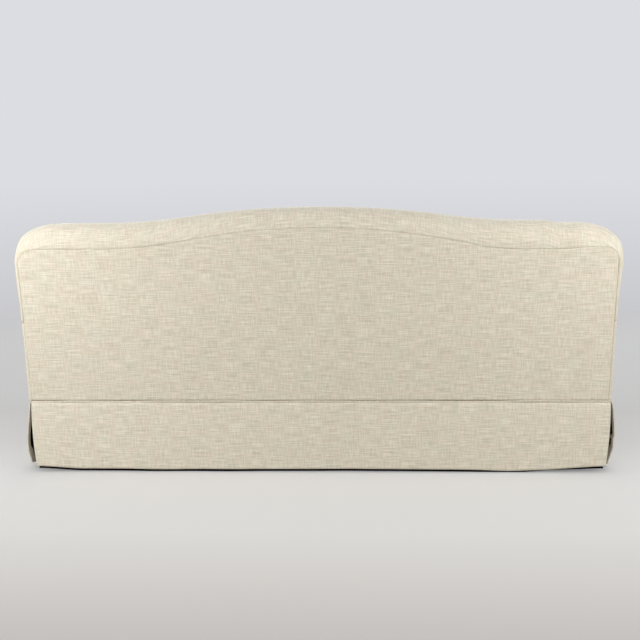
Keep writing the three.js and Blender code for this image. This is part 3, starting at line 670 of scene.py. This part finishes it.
def add_back_end(name, hand):
    """A boxing of the same cloth closes each end of the back, sewn just inside its outline."""
    top = top_line(hand * BACK_HALF)
    spring = top - ROLL_RISE
    inner, rear_end = inner_face(spring) + INNER_EDGE, rear_face(spring) - REAR_EDGE
    seam = 0.0015

    def place(across, up):
        z = WING_BOTTOM + (top - seam - WING_BOTTOM) * sin(up * pi / 2)
        front, rear = inner_face(z) + INNER_EDGE, rear_face(z) - REAR_EDGE
        if z > spring:
            share = sqrt(max(1 - ((z - spring) / ROLL_RISE) ** 2, 0.0))
            middle, half = (inner + rear_end) / 2, (rear_end - inner) / 2
            front, rear = middle - half * share, middle + half * share
        trim = min(seam, (rear - front) / 2)
        front, rear = front + trim, rear - trim
        y = front + toward_ends(across, 0.6) * (rear - front)
        inset = min(y - front, rear - y, top - seam - z)
        x = side_edge(z, hand) + 0.0010 - rounded_drop(inset, 0.012, 0.0032)
        x += ripple(y, z, 0.10, 0.0012, 31.0 + hand) * ease(inset / 0.02)
        return hand * x, y, z

    bm = cloth(40, 44, place, rectangle(0.25, 0.27, 4 * hand), (hand, 0, 0))
    end = make_piece(f"{name}_back_boxing", bm, LINEN, thickness=0.003)


def arm_outline(along, inset=0.0):
    """A point of an arm's outer outline, as [x, z], from the seat side over the roll and under its
    outer edge, and how far round it lies."""
    straight = ROLL_LINE - PAD_BOTTOM
    half_width = (ROLL_OUTSIDE - ARM_INNER) / 2 - inset
    high = ROLL_HEIGHT - inset
    over = pi * (half_width + high) / 2
    curl = 0.060
    length = along * (straight + over + curl)
    if length <= straight:
        return ARM_INNER + inset, PAD_BOTTOM + length, length
    if length <= straight + over:
        angle = pi * (length - straight) / over
        x = ARM_INNER + inset + half_width * (1 - cos(angle))
        return x, ROLL_LINE + high * sin(angle), length
    angle = pi / 2 * (length - straight - over) / curl
    tip = ROLL_OUTSIDE - inset - SIDE_PLANE
    x = SIDE_PLANE + tip * cos(angle)
    return x, ROLL_LINE - (ROLL_CURL - inset) * sin(angle), length


def outline_normal(along, inset=0.0):
    step = 1e-3
    low, high = max(along - step, 0.0), min(along + step, 1.0)
    (x0, z0, _), (x1, z1, _) = arm_outline(low, inset), arm_outline(high, inset)
    return Vector((-(z1 - z0), 0, x1 - x0)).normalized()


def add_arm_cover(name, hand):
    """Rolled arm: the pad's cloth is drawn tight over the roll from the facing to the back."""

    def place(across, along):
        x, z, _ = arm_outline(along)
        drop = INNER_EDGE
        if x < side_edge(z):
            drop = rounded_drop(side_edge(z) - x, INNER_EDGE, INNER_EDGE)
        rear = inner_face(z) + drop - SEWN_GAP
        y = PAD_FRONT + toward_ends(across, 0.6) * (rear - PAD_FRONT)
        sink = rounded_drop(y - PAD_FRONT, 0.014, 0.0045)
        sink += rounded_drop(rear - y, 0.012, 0.004)
        sink += 0.0025 * sin(pi * across) * ease((z - 0.56) / 0.08)
        sink += ripple(y + hand, along, 0.12, 0.0014, 9.0)
        sink += pucker(along * 0.6 + hand, y - PAD_FRONT, depth=0.0012)
        sink += pucker(along * 0.6 + 5 * hand, rear - y, reach=0.05, depth=0.0022, length=0.03)
        point = Vector((x, y, z)) - outline_normal(along) * sink
        return hand * point.x, point.y, point.z

    def cut(across, along):
        return across * 0.62, arm_outline(along)[2] + 3 * hand

    bm = cloth(90, 84, place, cut, (0.3 * hand, 0, 1))
    pad = make_piece(f"{name}_arm_cover", bm, LINEN, [f"{name}_arm_pad"], thickness=0.004)


def add_arm_end(name, hand):
    """The cloth that closes the overhanging side of an arm's roll behind, beside the back."""
    start = 0.775
    low, high = ROLL_LINE - ROLL_CURL + 0.006, 0.615

    def place(across, inward):
        along = start + (1 - start) * across
        x, z, _ = arm_outline(along)
        edge = Vector((x, 0, z)) - outline_normal(along) * 0.0045
        root = Vector((SIDE_PLANE - 0.006, 0, min(max(z, low), high)))
        point = edge.lerp(root, inward)
        y = inner_face(point.z) + INNER_EDGE - 0.002
        puff = 0.0035 * sqrt(sin(pi * min(inward, 0.6)))
        return hand * point.x, y + puff, point.z

    bm = cloth(30, 10, place, rectangle(0.14, 0.03, 31), (0, 1, 0))
    end = make_piece(f"{name}_arm_end", bm, LINEN, thickness=0.002)


def add_arm_facing(name, hand):
    """The facing closes the front of an arm inside a self welt."""
    steps, patch = 64, 0.020
    puff = ((0.003, 0.0030), (0.006, 0.0022), (0.010, 0.0012), (0.014, 0.0004))
    outline = [arm_outline(i / steps, FACING_INSET)[:2] for i in range(steps + 1)]
    outline = [(x, z) for x, z in outline if z > COVER_BOTTOM]
    outline = [(ARM_INNER + FACING_INSET, COVER_BOTTOM), *outline]
    rim = outline + [(SIDE_PLANE - 0.001, z) for z in (0.48, 0.40, 0.33, COVER_BOTTOM)]
    bm = bmesh.new()
    weave = bm.loops.layers.uv.new(WEAVE_MAP)
    bmesh.ops.create_circle(bm, cap_ends=True, segments=len(rim), radius=1)
    for vert, (x, z) in zip(bm.verts, rim):
        vert.co = (hand * x, BODY_FRONT + 0.0065, z)
    face_out(bm, (0, -1, 0))
    face = bm.faces[:][0]
    for thickness, depth in puff:
        bmesh.ops.inset_region(bm, faces=[face], thickness=thickness, depth=depth)
    for step in range(1, 20):
        cut_flat(bm, bm.faces, (0, 0, COVER_BOTTOM + patch * step), (0, 0, 1))
    for step in range(1, 10):
        cut_flat(bm, bm.faces, (hand * (ARM_INNER + patch * step), 0, 0), (1, 0, 0))
    for vert in bm.verts:
        if not vert.is_boundary:
            vert.co.y += ripple(vert.co.x, vert.co.z, 0.11, 0.0016, 37.0)
    for part in bm.faces:
        for loop in part.loops:
            loop[weave].uv = (loop.vert.co.x + 7, loop.vert.co.z)
    facing = make_piece(f"{name}_arm_front", bm, LINEN, [f"{name}_arm_facing"], thickness=0.003)
    path = [Vector((hand * x, BODY_FRONT + 0.0055, z)) for x, z in outline]
    bm = piping(path, 0.0042, Vector((0, 1, 0)), closed=False)
    make_piece(f"{name}_arm_front_welt", bm, LINEN)


def add_outside_arm(name, hand):
    """Outside arm: a flat panel under the roll that turns the rear corner into the back seam."""
    corner = 0.0065
    bend_from, lip_from = 0.86, 0.93
    curl_bottom = ROLL_LINE - ROLL_CURL - FIT
    step_front, step_rear = 0.2324, 0.2484

    def top(y):
        share = (y - step_front) / (step_rear - step_front)
        return curl_bottom + (WING_BOTTOM - 0.0005 - curl_bottom) * min(max(share, 0.0), 1.0)

    def place(across, up):
        if across <= bend_from:
            share = toward_ends(across / bend_from, 0.4)
            y = PAD_FRONT + share * (rear_face(0.41) - corner - PAD_FRONT)
            z = COVER_BOTTOM + toward_ends(up, 0.5) * (top(y) - COVER_BOTTOM)
            y += share * (rear_face(z) - rear_face(0.41))
            inset = min(z - COVER_BOTTOM, top(y) - z, y - PAD_FRONT)
            sink = rounded_drop(inset, 0.014, 0.003) + ripple(y, z, 0.16, 0.0012, 11.0 + hand)
            return hand * (side_edge(z, hand) - sink), y, z
        angle = min((across - bend_from) / (lip_from - bend_from), 1.0) * pi / 2
        z = COVER_BOTTOM + toward_ends(up, 0.5) * (top(0.4) - COVER_BOTTOM)
        x = side_edge(z, hand) - corner * (1 - cos(angle))
        y = rear_face(z) - corner + corner * sin(angle)
        seam = abs(flare_out(hand * SEAM_HALF, z)) + SEAM_GAP
        lip = max(across - lip_from, 0.0) / (1 - lip_from)
        x += (seam - x) * lip
        return hand * x, y - seam_pull(hand * x) * lip**2, z

    bm = cloth(96, 36, place, rectangle(0.86, 0.29, 9 * hand), (hand, 0, 0))
    covered = [f"{name}_outside_arm"]
    panel = make_piece(f"{name}_outside_arm_panel", bm, LINEN, covered, thickness=0.0025)


# Seat


def add_front_border():
    """Border: the cloth climbs the front rail, turns over its top and runs under the cushions."""
    half = ARM_INNER - SEWN_GAP
    round_edge, lip = 0.014, 0.074
    rise = DECK - COVER_BOTTOM - round_edge
    turn = pi / 2 * round_edge
    length = rise + turn + lip - round_edge

    def place(across, along):
        x = half * (2 * across - 1)
        run = along * length
        bow = ripple(x, run, 0.15, 0.0012, 13.0) - rounded_drop(run, 0.010, 0.002)
        if run <= rise:
            return x, BODY_FRONT - bow, COVER_BOTTOM + run
        if run <= rise + turn:
            angle = (run - rise) / round_edge
            y = BODY_FRONT + round_edge * (1 - cos(angle)) - bow * cos(angle)
            return x, y, DECK - round_edge * (1 - sin(angle)) - 0.001
        return x, BODY_FRONT + round_edge + run - rise - turn, DECK - 0.001

    bm = cloth(160, 22, place, rectangle(2 * half, length, 0, 11), (0, -1, 0.5))
    border = make_piece("front_border_cover", bm, LINEN, ["front_border"], thickness=0.003)


def add_deck():
    """Decking: cream cotton over felt, which dips a little between the springs."""
    half, front, rear = ARM_INNER - SEWN_GAP, BODY_FRONT + 0.075, inner_face(DECK) + 0.060
    spring_pitch = 0.2967

    def place(across, along):
        x, y = half * (2 * across - 1), front + along * (rear - front)
        inset = min(half - abs(x), y - front, rear - y)
        dip = 0.0015 * (1 + cos(2 * pi * x / spring_pitch)) * ease(inset / 0.08)
        dip += 0.001 + ripple(x, y, 0.11, 0.0010, 17.0) * ease(inset / 0.03)
        return x, y, DECK - dip - rounded_drop(inset, 0.010, 0.004)

    bm = cloth(120, 48, place, rectangle(2 * half, 0.56), (0, 0, 1))
    deck = make_piece(
        "seat_decking", bm, DECK_CLOTH, ["seat_deck"], slot="deck_cloth", thickness=0.008
    )


def add_dust_cover():
    """Dust cover: black spunbond cloth stapled under the rails, slack between the stretchers."""
    half, front, rear, top = 1.0467, -0.4457, 0.3913, 0.1392

    def place(across, along):
        x, y = half * (2 * across - 1), front + along * (rear - front)
        inset = min(half - abs(x), y - front, rear - y)
        sag = 0.0012 * ease((inset - 0.03) / 0.15) + ripple(x, y, 0.09, 0.0006, 19.0)
        return x, y, top - 0.0006 - sag * ease(inset / 0.03)

    bm = cloth(120, 48, place, rectangle(2 * half, 0.84), (0, 0, -1))
    name, slot = "dust_cover_cloth", "dust_cloth"
    cover = make_piece(name, bm, DUST_CLOTH, ["dust_cover"], slot=slot, thickness=0.0005)


def cushion_block(centre):
    """A box cushion before it is filled: six flat grids sewn at their edges, with soft corners in
    plan and a rear side that leans with the back."""
    bm = bmesh.new()
    quarter = pi / 2
    sides = (
        (46, 46, Matrix.Translation((0, 0, 0.5))),
        (46, 46, Matrix.Translation((0, 0, -0.5))),
        (46, 12, Matrix.Translation((0, -0.5, 0)) @ Matrix.Rotation(quarter, 4, "X")),
        (46, 12, Matrix.Translation((0, 0.5, 0)) @ Matrix.Rotation(quarter, 4, "X")),
        (12, 46, Matrix.Translation((-0.5, 0, 0)) @ Matrix.Rotation(quarter, 4, "Y")),
        (12, 46, Matrix.Translation((0.5, 0, 0)) @ Matrix.Rotation(quarter, 4, "Y")),
    )
    for columns, rows, matrix in sides:
        bmesh.ops.create_grid(bm, x_segments=columns, y_segments=rows, size=0.5, matrix=matrix)
    weld(bm)
    weave = bm.loops.layers.uv.new(WEAVE_MAP)
    seam = bm.verts.layers.int.new("seam")
    for face in bm.faces:
        normal = face.normal
        for loop in face.loops:
            x, y, z = loop.vert.co
            if abs(normal.z) > 0.5:
                flat = (x * 0.59, y * 0.60 + (2 if z > 0 else 5))
            elif abs(normal.y) > 0.5:
                flat = (x * 0.59 + 3 * centre, z * CUSHION_EDGE + 8)
            else:
                flat = (y * 0.60 + 3 * centre, z * CUSHION_EDGE + 9)
            loop[weave].uv = flat
    for vert in bm.verts:
        x, y, z = (2 * c for c in vert.co)
        rim = max(abs(x), abs(y)) > 0.999
        vert[seam] = 0 if not rim or abs(z) < 0.999 else (1 if z > 0 else 2)
        angle = atan2(y, x)
        draw_in = CUSHION_DRAW_IN * cos(2 * angle) ** 2
        corner = CUSHION_CORNER * sin(2 * angle) ** 16 * (1 - sqrt(0.5))
        height = CUSHION_BOTTOM + CUSHION_EDGE * (z + 1) / 2
        reach_x = CUSHION_HALF - CUSHION_TUCK - draw_in - corner
        rear = inner_face(height) - CUSHION_BACK_GAP - CUSHION_TUCK
        front = BODY_FRONT + CUSHION_TUCK
        reach_y = (rear - front) / 2 - draw_in - corner
        dome = 0.004 * (1 - max(abs(x), abs(y)) ** 2) if z > 0.999 else 0.0
        vert.co = (centre + x * reach_x, (rear + front) / 2 + y * reach_y, height + dome)
    return bm


def fill_cushion(piece):
    """Blows the sewn block up like its filling does: the seams and the underside stay, and the
    cloth, cut slightly full, puckers beside them."""
    mesh = piece.data
    tags = [item.value for item in mesh.attributes["seam"].data]
    rest = [vert.co.copy() for vert in mesh.vertices]
    held = piece.vertex_groups.new(name="held")
    for vert in mesh.vertices:
        if tags[vert.index]:
            held.add([vert.index], 1.0, "REPLACE")
        elif vert.co.z < CUSHION_BOTTOM + 1e-4:
            held.add([vert.index], 0.95, "REPLACE")
    filling = piece.modifiers.new("filling", "CLOTH")
    settings = filling.settings
    settings.quality = 6
    settings.mass = 0.35
    settings.tension_stiffness = settings.compression_stiffness = 12
    settings.shear_stiffness = 6
    settings.bending_stiffness = 0.6
    settings.use_pressure = True
    settings.uniform_pressure_force = 4.0
    settings.shrink_min = -0.035
    settings.vertex_group_mass = "held"
    settings.effector_weights.gravity = 0
    filling.point_cache.frame_end = 24
    scene = bpy.context.scene
    for step in range(1, 21):
        scene.frame_set(step)
    graph = bpy.context.evaluated_depsgraph_get()
    filled = [vert.co.copy() for vert in piece.evaluated_get(graph).data.vertices]
    piece.modifiers.remove(filling)
    scene.frame_set(1)
    for vert, start, end in zip(mesh.vertices, rest, filled):
        move = end - start
        if move.length > CUSHION_CROWN:
            move *= CUSHION_CROWN / move.length
        vert.co = start + move


def keep_inside(point, centre):
    """Neighbours and the arms press each side flat."""
    x = min(max(point.x, centre - CUSHION_HALF), centre + CUSHION_HALF)
    y = min(max(point.y, BODY_FRONT - 0.004), inner_face(point.z) - 0.001)
    return x, y, min(max(point.z, CUSHION_BOTTOM), CUSHION_TOP + CUSHION_CROWN)


def add_cushions():
    """Three loose box cushions with a self welt round the top and bottom of each border."""
    for seat, name in enumerate(("left", "centre", "right")):
        centre = (seat - 1) * CUSHION_PITCH
        body = f"{name}_seat_cushion"
        bm = cushion_block(centre)
        cushion = make_piece(f"{name}_cushion_case", bm, LINEN, [body], body=body)
        fill_cushion(cushion)
        tags = [item.value for item in cushion.data.attributes["seam"].data]
        for vert in cushion.data.vertices:
            vert.co = keep_inside(vert.co, centre)
        for tag, edge in ((1, "top"), (2, "bottom")):
            ring = [v.co.copy() for v in cushion.data.vertices if tags[v.index] == tag]
            middle = sum(ring, Vector()) / len(ring)
            ring.sort(key=lambda p: atan2(p.y - middle.y, p.x - middle.x))
            if tag == 2:
                ring = [p + Vector((0, 0, CUSHION_WELT)) for p in ring]
            bm = piping(ring, CUSHION_WELT, Vector((0, 0, 1)), closed=True)
            make_piece(f"{name}_cushion_{edge}_welt", bm, LINEN, body=body)


# Skirt


def skirt_stations(half):
    """Places along a skirt, as [along, fold angle, tucked back]: the end of each panel folds round
    a small radius and runs back behind itself."""
    flat = [half * (2 * toward_ends(i / 150, 0.45) - 1) for i in range(151)]
    middle = [(x, 0.0, 0.0) for x in flat]
    fold = [(half, pi * i / 7, 0.0) for i in range(1, 8)]
    tuck = [(half, pi, 0.030 * i / 6) for i in range(1, 7)]
    end = fold + tuck
    return [(-x, angle, back) for x, angle, back in reversed(end)] + middle + end


def skirt_end(belly, low=1.0, kink=0.0, swing=0.0, lift=0.008, reach=0.19):
    """How a skirt hangs beside a pleat: how far it bellies and how low, its kink, how far it
    swings in at the foot, and how much its hem lifts over which reach."""
    return belly, low, kink, swing, lift, reach


def hang(half, ends, flare, along, share):
    """How a skirt hangs, as [stand-out, hem height, end drawn in] a share of the way down. It
    flares to its hem. Beside a corner pleat it bellies, high or low, may kink halfway and then
    swing in."""
    out = SKIRT_THICKNESS + flare * share
    hem = HEM + ripple(along, half, 0.3, 0.0012, 2.0)
    swung = max(share - SWING_FROM, 0) / (1 - SWING_FROM)
    ways = (half + along, half - along)
    for (belly, low, kink, swing, lift, reach), to_end in zip(ends, ways):
        near = 1 - ease(max(to_end, 0) / PLEAT_REACH)
        out += near * belly * sin(pi * share**low) ** 0.8
        out -= near * (grow(share, kink, KINK_FROM, KINK_RUN) + swing * swung)
        hem += lift * (1 - ease(max(to_end, 0) / reach))
    out += ripple(along, half + 2, 0.21, 0.0035) * share**1.5
    edge = 1 - ease((half - abs(along)) / END_REACH)
    return out, hem, edge * (END_DRAW * share - END_BOW * sin(pi * share))


def add_skirt_panel(name, half, ends, turn, place_at, flare=0.010, droops=(), rises=()):
    """One hanging panel, made along X facing +Y and then turned, and its black lining, which
    hangs a little lower and is cut back above so that only cloth shows in the pleats. The lining
    is real, but its black edge below the hem, and low in the corner pleats where it is not cut
    back, is painted shade under the skirt."""
    stations = skirt_stations(half)
    fold = 0.0030
    return_line = half - 0.025
    hem_fold, hem_double = 0.955, 0.0008
    above_floor = 0.0008

    def uneven(along, places):
        return sum(depth * bell(along, centre, width) for centre, depth, width in places)

    def place(across, up):
        along, angle, tucked = stations[round(across * (len(stations) - 1))]
        share, end = 1 - up, copysign(1, along)
        out, hem, draw = hang(half, ends, flare, along, share)
        z = SKIRT_TOP - (SKIRT_TOP - hem + uneven(along, droops)) * share
        out -= rounded_drop(SKIRT_TOP - z, 0.010, 0.0035)
        out += grow(share, hem_double, hem_fold, 0.008)  # the turned-up hem is double
        out -= 0.0007 * bell(abs(along), return_line, 0.0020)  # where the folded edge ends
        x = min(abs(along), half - fold) + fold * sin(angle) - tucked - draw
        return end * x, out - fold * (1 - cos(angle)), z

    def cut(across, up):
        along, angle, tucked = stations[round(across * (len(stations) - 1))]
        extra = copysign(fold * angle + tucked, along)
        return along + extra + 5 * half, (up - 1) * 0.25

    def place_lining(across, up):
        along, share = (half - 0.008) * (2 * across - 1), 1 - up
        out, hem, draw = hang(half, ends, flare, along, share)
        top = SKIRT_TOP - 0.012
        bottom = hem - uneven(along, droops) - LINING_DROP + uneven(along, rises)
        bottom = max(bottom, above_floor)
        cut_back = 0.012 * ease(up / 0.12) * ease((abs(along) - half + 0.06) / 0.05)
        x = along - copysign(draw + cut_back, along)
        return x, out - 0.0042 - 0.003 * up, top - (top - bottom) * share

    placed = Matrix.Translation(place_at) @ Matrix.Rotation(turn, 4, "Z")
    bm = cloth(len(stations) - 1, 34, place, cut, (0, 1, 0))
    bm.transform(placed)
    panel = make_piece(f"{name}_skirt_panel", bm, LINEN, [f"{name}_skirt"], thickness=0.0024)
    bm = cloth(100, 20, place_lining, rectangle(2 * half, 0.25), (0, 1, 0))
    bm.transform(placed)
    # the lining's black is painted shade below the hem and low in the corner pleats
    black = {"material": BLACK_LINING_SHADE, "slot": "dust_cloth", "thickness": 0.0008}
    lined = make_piece(f"{name}_skirt_lining_and_shade", bm, **black)


def add_skirt():
    """Four panels. The rear corners hang as in the photograph, each in its own way."""
    across = SKIRT_SIDE - PLEAT_GAP / 2 - 0.0025
    along = (SKIRT_REAR - SKIRT_FRONT - PLEAT_GAP) / 2
    middle = (SKIRT_REAR + SKIRT_FRONT) / 2
    ends = skirt_end(0.002, lift=0.012, reach=0.25), skirt_end(0.002, lift=0.010)
    rear_right, rear_left = skirt_end(0.0140, 1.8), skirt_end(0.0092, 1.15, 0.003, 0.012)
    front = skirt_end(0.006, swing=0.012)
    back_at = (0, SKIRT_REAR, 0)
    add_skirt_panel("back", across, ends, 0.0, back_at, 0.019, DROOPS, LINING_RISES)
    add_skirt_panel("front", across, ends, pi, (0, SKIRT_FRONT, 0))
    for (name, hand), ends in zip(HANDS, ((rear_right, front), (front, rear_left))):
        at, rear_end = (hand * SKIRT_SIDE, middle, 0), (-hand * along, 0.009, 0.030)
        add_skirt_panel(name, along, ends, -hand * pi / 2, at, rises=(rear_end,))
    for name, hand in HANDS:
        add_underlay(name, hand, "front", SKIRT_FRONT, -1)
        add_underlay(name, hand, "rear", SKIRT_REAR, 1)


def add_underlay(name, hand, end, corner_y, way):
    """The folded flap behind a corner pleat, seen only as a shadow between the skirts."""
    leg, bend, depth = 0.110, 0.004, 0.012
    corner_x, corner_y = SKIRT_SIDE - depth, corner_y - way * depth

    def place(across, up):
        run = (2 * across - 1) * leg
        off = max(abs(run) - bend, 0.0)
        z = UNDERLAY_FOOT + up * (SKIRT_TOP - UNDERLAY_FOOT)
        wave = ripple(run, z, 0.05, 0.0008, 23.0)
        if run < 0:
            return hand * (corner_x - off), corner_y + way * wave, z
        return hand * (corner_x + wave), corner_y - way * off, z

    bm = cloth(40, 16, place, rectangle(0.22, 0.23, 21), (hand, way, 0))
    under = [f"{end}_{name}_pleat_underlay"]
    flap = make_piece(f"{end}_{name}_pleat_flap", bm, LINEN, under, thickness=0.002)


def add_skirt_welt():
    """Self welt over the skirt, all round the sofa."""
    half, rear, front, bend = 1.0585, 0.4118, -0.456, 0.009
    middle, depth = (rear + front) / 2, (rear - front) / 2
    points = []
    for turn in range(4):
        reach, off, count = (half, depth, 120) if turn % 2 == 0 else (depth, half, 50)
        length, centre = reach - bend, Vector((reach - bend, off - bend, 0))
        shares = [2 * length * i / count for i in range(count + 1)]
        side = [Vector((share - length, centre.y + bend, 0)) for share in shares]
        for i in range(1, 6):
            angle = pi / 2 * i / 6
            side.append(centre + bend * Vector((sin(angle), cos(angle), 0)))
        spin = Matrix.Rotation(-turn * pi / 2, 3, "Z")
        points += [spin @ point for point in side]
    for point in points:
        point.y += middle
        point.z = WELT_HEIGHT + ripple(point.x, point.y, 0.16, 0.0016, 29.0)
    bm = piping(points, WELT_RADIUS, Vector((0, 0, 1)), closed=True)
    make_piece("skirt_self_welt", bm, LINEN, ["skirt_welt"])


def dress_frame():
    """Gives the timber, feet, springs and webbing their finishes."""
    for name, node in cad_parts.items():
        if node.hide_render:
            continue
        if name.endswith("foot"):
            finish, slot = STAINED, "stained_wood"
        elif "spring" in name:
            finish, slot = WIRE, "spring_steel"
        elif "webbing" in name:
            finish, slot = JUTE, "jute_webbing"
        else:
            low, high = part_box(name)
            longest = max(range(3), key=lambda i: high[i] - low[i])
            finish, slot = HARDWOOD["XYZ"[longest]], "hardwood"
        node.data.materials.clear()
        node.data.materials.append(finish)


# Studio


def seen_rays(tree):
    """One for rays that show the studio, to the camera and in gloss or glass, and else zero."""
    rays = add_node(tree, "LightPath").outputs
    shown = rays["Is Camera Ray"]
    for kind in ("Is Glossy Ray", "Is Transmission Ray"):
        shown = add_node(tree, "Math", links={0: shown, 1: rays[kind]}, operation="MAXIMUM")
    return shown


def add_floor():
    """A pale floor that fades into the backdrop behind and beside the sofa."""
    material, tree, shader = new_material("matt_floor", {"Roughness": 0.85})
    place = add_node(tree, "TexCoord").outputs["Object"]
    parts = add_node(tree, "SeparateXYZ", links={"Vector": place}).outputs
    first, last = FLOOR_PAINTED_SHADES[0][0], FLOOR_PAINTED_SHADES[-1][0]
    run = {"From Min": first, "From Max": last}
    # painted shade along Y: darker toward the wall and toward the camera
    near = add_node(tree, "MapRange", run, {"Value": parts["Y"]})
    shades = [((y - first) / (last - first), shade) for y, shade in FLOOR_PAINTED_SHADES]
    paint = add_node(tree, "ValToRGB", links={"Fac": near}, stops=shades)
    glow = add_node(tree, "Math", {1: FLOOR_GLOW}, {0: seen_rays(tree)}, operation="MULTIPLY")
    shader.inputs["Emission Color"].default_value = linear("#ffffff")
    feed(tree, shader, {"Base Color": paint, "Emission Strength": glow})
    fades = {}
    for i, (axis, start, end) in enumerate(FLOOR_FADES):
        off = add_node(tree, "Math", links={0: parts[axis]}, operation="ABSOLUTE")
        fade = add_node(tree, "MapRange", {"From Min": start, "From Max": end}, {"Value": off})
        fade.interpolation_type = "SMOOTHSTEP"
        fades[i] = fade
    away = add_node(tree, "Math", links=fades, operation="MAXIMUM")
    clear = add_node(tree, "BsdfTransparent")
    blend = add_node(tree, "MixShader", links={0: away, 1: shader, 2: clear})
    feed(tree, tree.nodes["Material Output"], {"Surface": blend})
    bm = bmesh.new()
    bmesh.ops.create_grid(bm, x_segments=1, y_segments=1, size=FLOOR_HALF)
    floor = add_object("studio_floor", new_mesh("studio_floor", bm, material))
    return floor


def add_backdrop():
    """The pale grey-blue wall, darker below with painted shade, is the world's colour. The light
    is neutral, and softer from overhead."""
    world = bpy.data.worlds.new("studio")
    bpy.context.scene.world = world
    world.use_nodes = True
    tree = world.node_tree
    tree.nodes.clear()
    heading = add_node(tree, "TexCoord").outputs["Generated"]
    rise = add_node(tree, "SeparateXYZ", links={"Vector": heading}).outputs["Z"]
    tent = add_node(tree, "ValToRGB", links={"Fac": rise}, stops=TENT_SHADES)
    light = add_node(tree, "Background", {"Strength": TENT_STRENGTH}, {"Color": tent})
    # the wall's colour, with painted shade that darkens it toward the floor
    low, high = (height for height, _ in WALL_SHADES)
    level = add_node(tree, "MapRange", {"From Min": low, "From Max": high}, {"Value": rise})
    shades = [(i, shade) for i, (_, shade) in enumerate(WALL_SHADES)]
    paint = add_node(tree, "ValToRGB", links={"Fac": level}, stops=shades)
    wall = add_node(tree, "Background", {"Strength": 1.0}, {"Color": paint})
    both = add_node(tree, "MixShader", links={0: seen_rays(tree), 1: light, 2: wall})
    add_node(tree, "OutputWorld", links={"Surface": both})


def flag_off(floor):
    """Flags keep the side lamps off the floor, so that it has no bright pools beside them."""
    flags = bpy.data.collections.new("flags")
    flags.objects.link(floor)
    flags.collection_objects[0].light_linking.link_state = "EXCLUDE"
    return flags


def add_lamp(name, place, target, size, power, flags):
    lamp = bpy.data.lights.new(name, "AREA")
    lamp.shape = "RECTANGLE"
    lamp.size, lamp.size_y = size
    lamp.energy = power
    holder = add_object(name, lamp)
    holder.location = place
    aim = Vector(target) - Vector(place)
    holder.rotation_euler = aim.to_track_quat("-Z", "Y").to_euler()
    holder.light_linking.receiver_collection = flags
    holder.visible_camera = False


def add_camera():
    camera = bpy.data.cameras.new("camera")
    camera.lens = CAMERA_LENS
    camera.sensor_width = 36
    camera.clip_end = 100
    holder = add_object("camera", camera)
    look = Euler((radians(90 - CAMERA_PITCH), 0, radians(180 + CAMERA_YAW)))
    roll = Matrix.Rotation(radians(CAMERA_ROLL), 4, "Z")
    holder.matrix_world = Matrix.Translation(CAMERA_PLACE) @ look.to_matrix().to_4x4() @ roll
    bpy.context.scene.camera = holder


add_camera()
add_outside_back()
add_inside_back()
for name, hand in HANDS:
    add_arm_cover(name, hand)
    add_arm_facing(name, hand)
    add_arm_end(name, hand)
    add_outside_arm(name, hand)
add_front_border()
add_deck()
add_dust_cover()
add_cushions()
add_skirt()
add_skirt_welt()
dress_frame()
side_flags = flag_off(add_floor())
add_backdrop()
for *lamp, flagged in LAMPS:
    add_lamp(*lamp, side_flags if flagged else None)
bpy.context.scene.view_settings.view_transform = "Standard"
